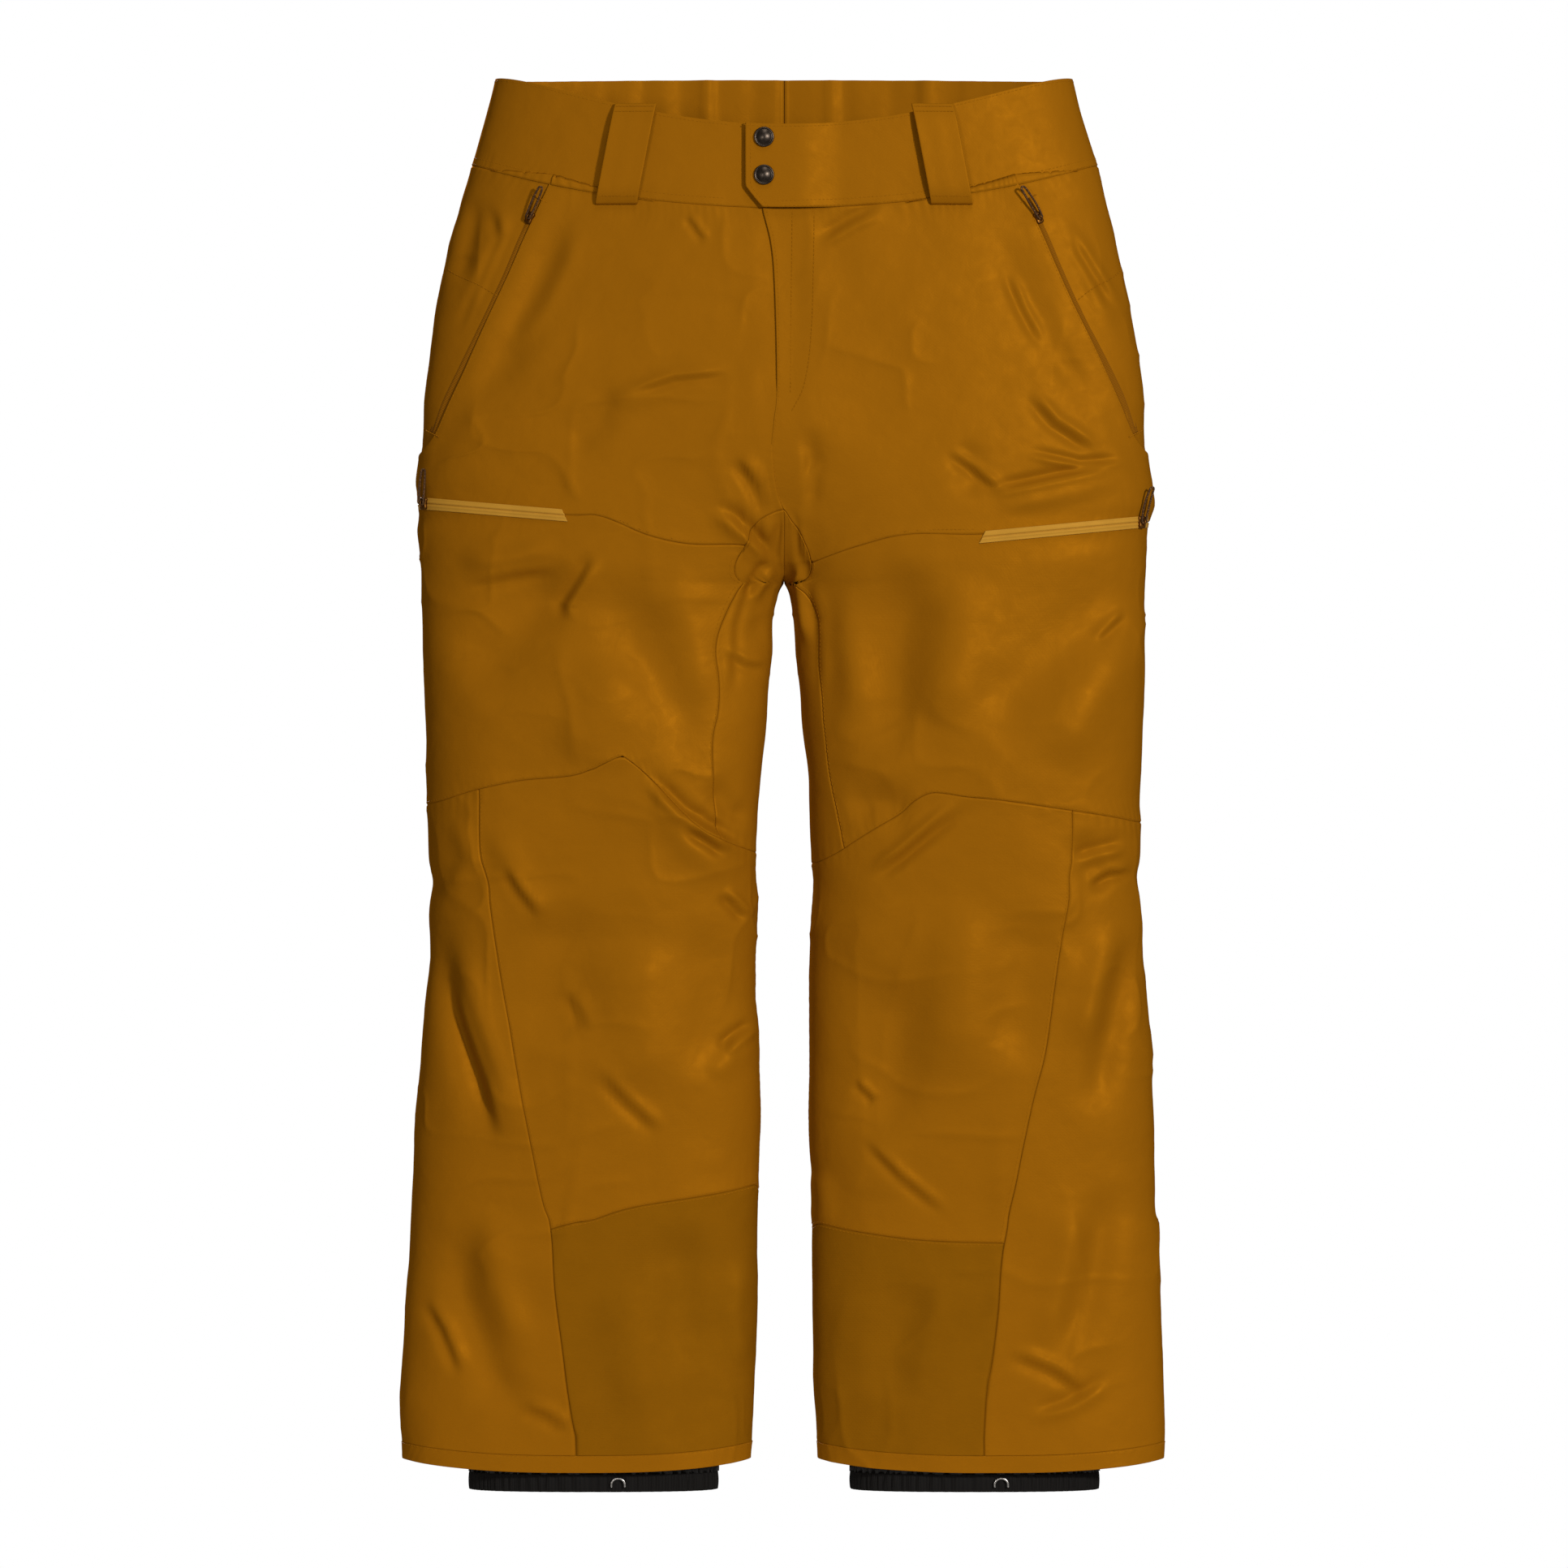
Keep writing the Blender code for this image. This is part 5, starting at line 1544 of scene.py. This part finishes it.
# how far it stands off the band at its feet and more between them, and its edge's crown
LOOP_FOOT, LOOP_RISE, LOOP_CROWN, LOOP_TUCK = 0.0020, 0.0052, 0.0006, 0.0016
LOOP_FLATNESS = 0.75  # share of the band's own curve that the strap doesn't follow
LOOP_ROWS, LOOP_COLUMNS = 61, 25
LOOP_STITCH_ROWS = (2, 5, 55)


def make_belt_loops():
    """Each strap is a ribbon that stands off the band by foot + rise (1 - |2v - 1|^5)."""
    v, u = np.linspace(0, 1, LOOP_ROWS)[:, None], np.linspace(-0.5, 0.5, LOOP_COLUMNS)[None, :]
    rise = LOOP_FOOT + LOOP_RISE * (1 - np.abs(2 * v - 1) ** 5)
    rise = rise + LOOP_CROWN * np.cos(np.pi * u * 2) ** 2 - LOOP_TUCK * (v > 0.985)
    half_row, half_column = LOOP_ROWS // 2, LOOP_COLUMNS // 2
    for place, (name, way) in product(("front", "back"), SIDES.items()):
        node = f"belt_loop_{place}_{name}"
        _, _, middle, _ = box(node)
        up = LOOP_HALF_HEIGHT * (1 - 2 * v) + 0 * u
        height = middle[2] + up
        x = way * LOOP_MIDDLE + LOOP_WIDTH * u - way * math.tan(LOOP_LEAN) * up
        band = np.clip(height, -0.2, 0.0)
        turn = turn_at(x, band, way, back=place == "back")
        base = plain_surface(turn, band, way)
        flat = outward(turn, band, way)[half_row, half_column] * [1, 1, 0]
        flat /= np.linalg.norm(flat)
        points = np.stack([x, base[..., 1], height], -1) + rise[..., None] * flat
        along = (points - points[:, half_column : half_column + 1]) @ flat
        points = points - LOOP_FLATNESS * along[..., None] * flat
        uv = np.stack(np.broadcast_arrays(u * 0.033 + way, v * 0.08), -1)
        thing = mesh_object(node, points, grid_faces(LOOP_ROWS, LOOP_COLUMNS), shell_cloth, uv)
        face_out(thing, np.broadcast_to(flat, (LOOP_ROWS * LOOP_COLUMNS, 3)))
        thicken(thing, LOOP_WALL)
        edge = thing.modifiers.new("soft_edge", "BEVEL")
        edge.width, edge.segments, edge.limit_method = 0.0006, 2, "ANGLE"
        fit(thing, "garment", "shell_cloth", node)
        for row in LOOP_STITCH_ROWS:
            run = points[row, 2:-2] + flat * STITCH_LIFT
            stitch(name, run, np.broadcast_to(flat, run.shape), pitch=0.0026)


DOME_RADIUS, DOME_FOOT, DOME_RISE = 0.0060, 0.0010, 0.0021
# profiles of (radius, height), each from its middle outwards and back
SNAP_RIM = [
    (0.0001, 0.0), (0.0074, 0.0), (0.0078, 0.0004), (0.0078, 0.0010),
    (0.0074, 0.0015), (0.0068, 0.0016), (0.0064, 0.0013), (0.0062, 0.0010),
]
SNAP_STUD = [
    (0.0001, 0.0), (0.0040, 0.0), (0.0042, 0.0003), (0.0040, 0.0006), (0.0030, 0.0007),
    (0.0026, 0.0010), (0.0030, 0.0015), (0.0028, 0.0018), (0.0001, 0.0018),
]


def make_snaps():
    """Caps and studs are turned. A cap is a ring, a groove and a dome h cos(pi r / 2R)^0.8."""
    radius = np.linspace(0.0, DOME_RADIUS, 14)
    dome = DOME_FOOT + DOME_RISE * np.cos(radius / DOME_RADIUS * np.pi / 2) ** 0.8
    cap = np.vstack([SNAP_RIM, np.stack([radius, dome], -1)[::-1]])
    cap[-1, 0] = 0.00012
    for part in ("upper", "lower"):
        for kind, profile, body, steps in (
            ("cap", cap, "waist_tab", 64), ("stud", SNAP_STUD, "garment", 48),
        ):
            node = f"snap_{kind}_{part}"
            _, high, middle, _ = box(node)
            seat = (middle[0], high[1], middle[2])
            thing = turned(node, profile, seat, (0, -1, 0), snap_metal, steps)
            fit(thing, body, "snap_metal", node)


def ribbon(name, points, normals, wall, maker, uv):
    """A strip from a grid of points, given a wall on its inner side."""
    thing = mesh_object(name, points, grid_faces(*points.shape[:2]), maker, uv)
    face_out(thing, normals.reshape(-1, 3))
    return thicken(thing, wall)


# ---- zips ---------------------------------------------------------------------------------
SLIDER_HALF = (0.00475, 0.0034, 0.0017)  # along its zip, across it and away from it
BRIDGE_REACH, BRIDGE_FOOT, BRIDGE_RADIUS = 0.0026, 0.0012, 0.00055


def make_slider(node, flip):
    """A zip slider: a squared oval, waisted, with a half round bridge for its pull."""
    _, _, centre, _ = box(node)
    across, pivot = np.array(flip["axis"]), np.array(flip["pos_m"])
    away = pivot - centre
    away = away - across * (away @ across)
    away /= np.linalg.norm(away)
    run = np.cross(across, away)
    u = np.linspace(-np.pi, np.pi, 49)[None, :-1]
    v = np.linspace(-np.pi / 2, np.pi / 2, 25)[:, None]
    ring = signed_power(np.cos(v), 0.35)
    long, wide, thick = SLIDER_HALF
    a = long * ring * signed_power(np.cos(u), 0.45)
    b = wide * ring * signed_power(np.sin(u), 0.45)
    c = thick * signed_power(np.sin(v), 0.5) + 0 * u
    b = b * (1 - 0.22 * np.cos(np.pi * a / (2 * long)) ** 4) * (1 - 0.12 * a / long)
    points = centre + a[..., None] * run + b[..., None] * across + c[..., None] * away
    casting = mesh_object(node, points, grid_faces(25, 48, closed_columns=True), slider_metal)
    repair_normals(casting)
    fit(casting, node, "slider_metal", node)
    turn = np.linspace(0, np.pi, 17)[:, None]
    reach = float((pivot - centre) @ away) + 0.0004
    rise = BRIDGE_FOOT + np.sin(turn) * reach
    path = centre + np.cos(turn) * BRIDGE_REACH * run + rise * away
    bridge = tube(node + "_bridge", path, BRIDGE_RADIUS, across, slider_metal, 10)
    fit(bridge, node, "slider_metal")


PULL_HALF, PULL_RADIUS = 0.0021, 0.00085  # half the loop's width, and the cord's radius
PULL_NARROW, PULL_BOW, PULL_ROOT, PULL_SPARE = 0.85, 0.0007, 0.0009, 0.0011
# how far the tip of a loop has swung from the line of its zip, in metres
PULL_LEAN = {
    "hand_pull_left": (-0.0040, -0.0055, 0.0),
    "hand_pull_right": (0.0, -0.0030, 0.0),
    "thigh_pull_left": (0.0070, -0.0010, 0.0),
    "thigh_pull_right": (0.0015, 0.0060, 0.0),
    "fly_pull": (0.0, 0.0, 0.0),
}


def make_pull(node, flip):
    """A loop of braided cord: two bowed runs between half circles at its tip and its root."""
    _, _, centre, _ = box(node)
    pivot, across = np.array(flip["pos_m"]), np.array(flip["axis"])
    run = centre - pivot
    run = run - across * (run @ across)
    reach = 2 * np.linalg.norm(run)
    run /= np.linalg.norm(run)
    end = reach - PULL_HALF - PULL_SPARE
    down = np.linspace(0, end, 20)[:-1]
    bow = np.sin(down / end * np.pi) * PULL_BOW
    tip, root = np.linspace(0, np.pi, 15), np.linspace(0, np.pi, 7)[1:-1]
    wide, narrow = (PULL_HALF + bow) * PULL_NARROW, PULL_HALF * PULL_NARROW
    # distances along the loop and across it, all the way round
    along = [down, end + PULL_HALF * np.sin(tip), down[::-1], -PULL_ROOT * np.sin(root)]
    aside = [-wide, -narrow * np.cos(tip), wide[::-1], narrow * np.cos(root)]
    along, aside = np.concatenate(along)[:, None], np.concatenate(aside)[:, None]
    path = pivot + run * along + across * aside
    path = resample(np.vstack([path, path[:1]]), count=90)
    share = np.clip((path - pivot) @ run / reach, 0, 1)[:, None]
    path = path + np.array(PULL_LEAN[node]) * share**1.6
    cord = tube(node, path, PULL_RADIUS, np.cross(run, across), pull_cord)
    fit(cord, node, "pull_cord", node)


def make_runner(zip_name):
    """The slider and the pull of a zip, such as hand_left or fly."""
    kind, _, side = zip_name.partition("_")
    side = f"_{side}" if side else ""
    flip = next(j for j in frame["joints"] if j["name"] == f"{kind}_zip{side}_pull_flip")
    make_slider(f"{kind}_slider{side}", flip)
    make_pull(f"{kind}_pull{side}", flip)


HAND_ZIP = [(190, -96), (231.75, -187), (273.5, -278)]
HAND_ZIP_WIDTH, THIGH_ZIP_WIDTH, FLY_ZIP_WIDTH = 0.0085, 0.0095, 0.026


def make_hand_zips():
    """A tape along the pocket's edge, with its coil as a lift of c exp(-(x / w)^4)."""
    for name, way in SIDES.items():
        path = rounded(flat_path([(way * x, z) for x, z in HAND_ZIP], way), 200)
        share = np.linspace(0, 1, 130)
        across = np.linspace(-0.5, 0.5, 13)[None, :] * HAND_ZIP_WIDTH
        place, normal = cloth_point(path[:, 0], path[:, 1], way)
        place, normal = resample(place, count=130, extra=normal)
        _, side, up = frames_along(place, normal)
        lift = 0.0006 * np.exp(-((across / 0.0015) ** 4)) - 0.0003
        points = place[:, None] + across[..., None] * side[:, None] + lift[..., None] * up[:, None]
        uv = np.stack(np.broadcast_arrays(share[:, None] * 0.2, across), -1)
        normals = np.broadcast_to(up[:, None], points.shape)
        tape = ribbon(f"hand_zip_{name}", points, normals, 0.0008, zip_tape, uv)
        fit(tape, "garment", "zip_tape", f"hand_zip_{name}")
        make_runner(f"hand_{name}")
        for index, spread in ((0, 0.012), (-1, 0.014)):
            bar = np.linspace(-0.5, 0.5, 20)[:, None] * spread * side[index]
            bar = place[index] + bar + up[index] * 0.0009
            normals = np.broadcast_to(up[index], bar.shape)
            stitch(name, bar, normals, pitch=0.0022, length=0.0026, width=0.0005)


THIGH_ZIP = {1: ((152.5, -359.8), (282.5, -346.2)), -1: ((169.0, -342.9), (283.5, -332.0))}


def front_face(x, z):
    """y of the front at x, z near the hips: -b (1 - (x / a)^n)^(1/n)."""
    depth = np.interp(-z, [0.1, 0.3, 0.42], [0.050, 0.060, 0.060])
    outer = np.interp(-z, [0.290, 0.335, 0.394], [0.283, 0.287, 0.283])
    return -depth * (1 - min(x / outer, 1.0) ** ROUNDNESS) ** (1 / ROUNDNESS)


def thigh_arc(way):
    """The circle through a zip's two ends and the front half way: its middle in x, its radius,
    and the angles and heights of its ends."""
    (x0, z0), (x1, z1) = [(x * MM, z * MM) for x, z in THIGH_ZIP[way]]
    row = [(x0, z0), ((x0 + x1) / 2, (z0 + z1) / 2), (x1, z1)]
    ends = np.array([[x, front_face(x, z)] for x, z in row])
    matrix = np.column_stack([2 * ends, np.ones(3)])
    cx, cy, k = np.linalg.solve(matrix, (ends**2).sum(1))
    radius = math.sqrt(k + cx * cx + cy * cy)
    start, _, stop = np.arctan2(ends[:, 1] - cy, ends[:, 0] - cx)
    return cx, radius, start, stop, z0, z1


def make_thigh_zips():
    """A film on the cloth, along p = c + r cos a with a from end to end. Its slanted end, its
    slit and the two ridges beside it are bells across it."""
    across = np.linspace(-0.5, 0.5, 41)[None, :]
    share = np.linspace(0, 1, 150)[:, None]
    slant = 0.035 * (across + 0.5)
    s = -0.01 + slant + (1.012 - slant) * share
    mm = across * THIGH_ZIP_WIDTH / MM
    slit = 0.00065 * np.exp(-((mm / 0.45) ** 2))
    ridge = 0.00035 * np.exp(-(((np.abs(mm) - 1.5) / 0.9) ** 2))
    lift = 0.00135 - slit + ridge - 0.0006 * smooth((np.abs(across) - 0.46) / 0.04)
    for name, way in SIDES.items():
        cx, radius, start, stop, z0, z1 = thigh_arc(way)
        x = way * (cx + (radius + 0.001) * np.cos(start + (stop - start) * s))
        z = z0 + (z1 - z0) * s + across * THIGH_ZIP_WIDTH
        place, normal = cloth_point(turn_at(x, z, way), z, way)
        points = place + normal * lift[..., None]
        uv = np.stack(np.broadcast_arrays(s * 0.13, across * THIGH_ZIP_WIDTH), -1)
        film = ribbon(f"thigh_zip_{name}", points, normal, 0.0013, laminated_zip, uv)
        fit(film, "garment", "laminated_zip", f"thigh_zip_{name}")
        make_runner(f"thigh_{name}")


def make_fly_zip():
    """A flat tape down its node's box, with its coil as a lift of c exp(-(x / w)^4)."""
    low, high, _, _ = box("fly_zip")
    v, u = np.linspace(0, 1, 110)[:, None], np.linspace(-0.5, 0.5, 15)[None, :] * FLY_ZIP_WIDTH
    depth = high[1] - 0.0009 + (low[1] - high[1] + 0.0012) * v
    coil = 0.0005 * np.exp(-((u / 0.0020) ** 4))
    height = high[2] + (low[2] - high[2]) * v
    points = np.stack(np.broadcast_arrays(u, depth - coil, height), -1)
    uv = np.stack(np.broadcast_arrays(v * 0.16, u), -1)
    normals = np.broadcast_to([0.0, -1.0, 0.0], points.shape)
    tape = ribbon("fly_zip", points, normals, 0.0009, zip_tape, uv)
    fit(tape, "garment", "zip_tape", "fly_zip")
    make_runner("fly")


BAG_HALF_THICKNESS, BAG_RIPPLE = 0.0009, 0.00048


def make_pocket_bags():
    """A flat closed bag: sin^(1/2) t (cos^(1/4) a, sin^(1/4) a) across, cos t through."""
    t = np.linspace(0, np.pi, 61)[:, None]
    a = np.linspace(0, 2 * np.pi, 96, endpoint=False)[None, :]
    reach = np.sin(t) ** 0.5
    u, v = reach * signed_power(np.cos(a), 0.25), reach * signed_power(np.sin(a), 0.25)
    for kind, name in product(("hand", "thigh"), SIDES):
        node = f"{kind}_pocket_bag_{name}"
        _, _, middle, half = box(node)
        x, z = middle[0] + u * half[0], middle[2] + v * half[2]
        ripple = BAG_RIPPLE * value_noise(np.stack([x, 0 * u, z], -1), 0.02, 40)
        points = np.stack([x, middle[1] - np.cos(t) * BAG_HALF_THICKNESS + ripple, z], -1)
        faces, uv = grid_faces(61, 96, closed_columns=True), np.stack([x, z], -1)
        bag = mesh_object(node, points, faces, pocket_lining, uv)
        repair_normals(bag)
        fit(bag, "garment", "pocket_lining", node)


def make_stitching():
    """The threads that the other pieces have put down, as one mesh for each side."""
    for name in SIDES:
        fit(thread_mesh(f"stitching_{name}", name), "garment", "shell_cloth")


# ---- stage --------------------------------------------------------------------------------
CAMERA_REACH, CAMERA_HEIGHT = 6.0, -0.551
FRAME_WIDTH = 1.2268  # metres seen at the garment's middle
SENSOR = 36.0
FLOOR_REACH, FLOOR_POINTS = 0.78, 96
FLOOR_HEIGHT = -1.25  # the trousers hang 15 cm above it
ROOM_LIGHT = 0.17
LAMP_TARGET = Vector((0, 0, -0.55))
# name, place, size in metres, power in watts
LAMPS = [
    ("key", (2.2, -3.8, 0.6), 0.45, 140.0),
    ("fill", (-1.3, -4.2, -0.3), 0.8, 30.0),
    ("top", (0.3, -1.2, 2.2), 0.8, 14.0),
    ("back", (-1.4, 3.4, 1.2), 0.9, 120.0),
]


def make_floor():
    """Three rings at radius r about the middle, with the last one filled."""
    reach = np.array([[FLOOR_REACH], [FLOOR_REACH * 0.5], [0.001]])
    turn = np.linspace(0, 2 * np.pi, FLOOR_POINTS, endpoint=False)[None, :]
    x, y = reach * np.cos(turn), reach * np.sin(turn)
    flat = np.stack(np.broadcast_arrays(x, y, FLOOR_HEIGHT), -1)
    faces = grid_faces(3, FLOOR_POINTS, closed_columns=True)
    centre = list(range(2 * FLOOR_POINTS, 3 * FLOOR_POINTS))
    floor = mesh_object("floor", flat, faces, pale_floor, caps=[centre])
    face_out(floor, np.broadcast_to([0.0, 0.0, 1.0], (3 * FLOOR_POINTS, 3)))


def make_world():
    """A background that looks white but lights the garment only softly."""
    world = bpy.data.worlds.new("studio")
    world.use_nodes = True
    tree = world.node_tree
    white = (1, 1, 1, 1)
    soft = tree.nodes["Background"]
    soft.inputs["Color"].default_value, soft.inputs["Strength"].default_value = white, ROOM_LIGHT
    seen = add(tree, "ShaderNodeBackground", inputs={"Color": white, "Strength": 1.0})
    ray = add(tree, "ShaderNodeLightPath").outputs["Is Camera Ray"]
    links = {0: ray, 1: soft.outputs[0], 2: seen.outputs[0]}
    both = add(tree, "ShaderNodeMixShader", links)
    tree.links.new(both.outputs[0], tree.nodes["World Output"].inputs["Surface"])
    bpy.context.scene.world = world


def make_lamps():
    for name, place, size, energy in LAMPS:
        data = bpy.data.lights.new(name, "AREA")
        data.shape, data.size, data.energy = "SQUARE", size, energy
        lamp = bpy.data.objects.new(name, data)
        bpy.context.scene.collection.objects.link(lamp)
        lamp.location = place
        lamp.rotation_euler = (LAMP_TARGET - Vector(place)).to_track_quat("-Z", "Y").to_euler()


def make_camera():
    data = bpy.data.cameras.new("camera")
    data.sensor_width = SENSOR
    data.lens = SENSOR * CAMERA_REACH / FRAME_WIDTH
    camera = bpy.data.objects.new("camera", data)
    camera.location = (0, -CAMERA_REACH, CAMERA_HEIGHT)
    camera.rotation_euler = (math.pi / 2, 0, 0)
    bpy.context.scene.collection.objects.link(camera)
    bpy.context.scene.camera = camera
    bpy.context.scene.view_settings.view_transform = "Standard"


def make_stage():
    make_floor()
    make_world()
    make_lamps()
    make_camera()


# ---- operators ----------------------------------------------------------------------------
class TROUSERS_OT_waistband(bpy.types.Operator):
    """Waistband with its overlap tab"""

    bl_idname = "trousers.waistband"
    bl_label = "Waistband"

    def execute(self, context):
        make_waistband()
        return {"FINISHED"}


class TROUSERS_OT_front_panels(bpy.types.Operator):
    """Fronts from waistband to yoke, with pocket facings"""

    bl_idname = "trousers.front_panels"
    bl_label = "Front panels"

    def execute(self, context):
        make_front_panels()
        return {"FINISHED"}


class TROUSERS_OT_seat_panels(bpy.types.Operator):
    """Seat from waistband to yoke"""

    bl_idname = "trousers.seat_panels"
    bl_label = "Seat panels"

    def execute(self, context):
        make_seat_panels()
        return {"FINISHED"}


class TROUSERS_OT_thighs(bpy.types.Operator):
    """Front and back thigh panels"""

    bl_idname = "trousers.thighs"
    bl_label = "Thighs"

    def execute(self, context):
        make_thighs()
        return {"FINISHED"}


class TROUSERS_OT_gusset(bpy.types.Operator):
    """Gusset that runs down the inside of both thighs"""

    bl_idname = "trousers.gusset"
    bl_label = "Crotch gusset"

    def execute(self, context):
        make_gusset()
        return {"FINISHED"}


class TROUSERS_OT_shins(bpy.types.Operator):
    """Knee, outer shin and calf panels"""

    bl_idname = "trousers.shins"
    bl_label = "Lower legs"

    def execute(self, context):
        make_shins()
        return {"FINISHED"}


class TROUSERS_OT_cuffs(bpy.types.Operator):
    """Scuff guards and hems"""

    bl_idname = "trousers.cuffs"
    bl_label = "Cuffs"

    def execute(self, context):
        make_cuffs()
        return {"FINISHED"}


class TROUSERS_OT_gaiters(bpy.types.Operator):
    """Gaiters, their elastic and lace hooks"""

    bl_idname = "trousers.gaiters"
    bl_label = "Gaiters"

    def execute(self, context):
        make_gaiters()
        return {"FINISHED"}


class TROUSERS_OT_belt_loops(bpy.types.Operator):
    """Four stitched straps"""

    bl_idname = "trousers.belt_loops"
    bl_label = "Belt loops"

    def execute(self, context):
        make_belt_loops()
        return {"FINISHED"}


class TROUSERS_OT_snaps(bpy.types.Operator):
    """Snap caps and studs"""

    bl_idname = "trousers.snaps"
    bl_label = "Snaps"

    def execute(self, context):
        make_snaps()
        return {"FINISHED"}


class TROUSERS_OT_hand_zips(bpy.types.Operator):
    """Hand pocket zips with sliders and pulls"""

    bl_idname = "trousers.hand_zips"
    bl_label = "Hand zips"

    def execute(self, context):
        make_hand_zips()
        return {"FINISHED"}


class TROUSERS_OT_thigh_zips(bpy.types.Operator):
    """Sealed thigh zips with sliders and pulls"""

    bl_idname = "trousers.thigh_zips"
    bl_label = "Thigh zips"

    def execute(self, context):
        make_thigh_zips()
        return {"FINISHED"}


class TROUSERS_OT_fly_zip(bpy.types.Operator):
    """Fly zip with its slider and pull"""

    bl_idname = "trousers.fly_zip"
    bl_label = "Fly zip"

    def execute(self, context):
        make_fly_zip()
        return {"FINISHED"}


class TROUSERS_OT_pocket_bags(bpy.types.Operator):
    """Linings of the hand and thigh pockets"""

    bl_idname = "trousers.pocket_bags"
    bl_label = "Pocket bags"

    def execute(self, context):
        make_pocket_bags()
        return {"FINISHED"}


class TROUSERS_OT_stitching(bpy.types.Operator):
    """Every run of topstitching, after the pieces it holds"""

    bl_idname = "trousers.stitching"
    bl_label = "Stitching"

    def execute(self, context):
        make_stitching()
        return {"FINISHED"}


class TROUSERS_OT_stage(bpy.types.Operator):
    """Floor, background, lamps and camera"""

    bl_idname = "trousers.stage"
    bl_label = "Studio"

    def execute(self, context):
        make_stage()
        return {"FINISHED"}


OPERATORS = [
    TROUSERS_OT_waistband,
    TROUSERS_OT_front_panels,
    TROUSERS_OT_seat_panels,
    TROUSERS_OT_thighs,
    TROUSERS_OT_gusset,
    TROUSERS_OT_shins,
    TROUSERS_OT_cuffs,
    TROUSERS_OT_gaiters,
    TROUSERS_OT_belt_loops,
    TROUSERS_OT_snaps,
    TROUSERS_OT_hand_zips,
    TROUSERS_OT_thigh_zips,
    TROUSERS_OT_fly_zip,
    TROUSERS_OT_pocket_bags,
    TROUSERS_OT_stitching,
    TROUSERS_OT_stage,
]


class TROUSERS_PT_panel(bpy.types.Panel):
    """Sizes, colours and the pieces in building order"""

    bl_idname = "TROUSERS_PT_panel"
    bl_label = "Snow trousers"
    bl_space_type = "VIEW_3D"
    bl_region_type = "UI"
    bl_category = "Trousers"

    def draw(self, context):
        for key in TrouserSettings.__annotations__:
            self.layout.prop(context.scene.trousers, key)
        for made in OPERATORS:
            self.layout.operator(made.bl_idname)


CLASSES = [TrouserSettings, *OPERATORS, TROUSERS_PT_panel]


def register():
    for made in CLASSES:
        bpy.utils.register_class(made)
    bpy.types.Scene.trousers = bpy.props.PointerProperty(type=TrouserSettings)


def unregister():
    del bpy.types.Scene.trousers
    for made in reversed(CLASSES):
        bpy.utils.unregister_class(made)


def main():
    register()
    for made in OPERATORS:
        getattr(bpy.ops.trousers, made.bl_idname.split(".")[1])()
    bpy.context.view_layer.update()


if __name__ == "__main__":
    main()
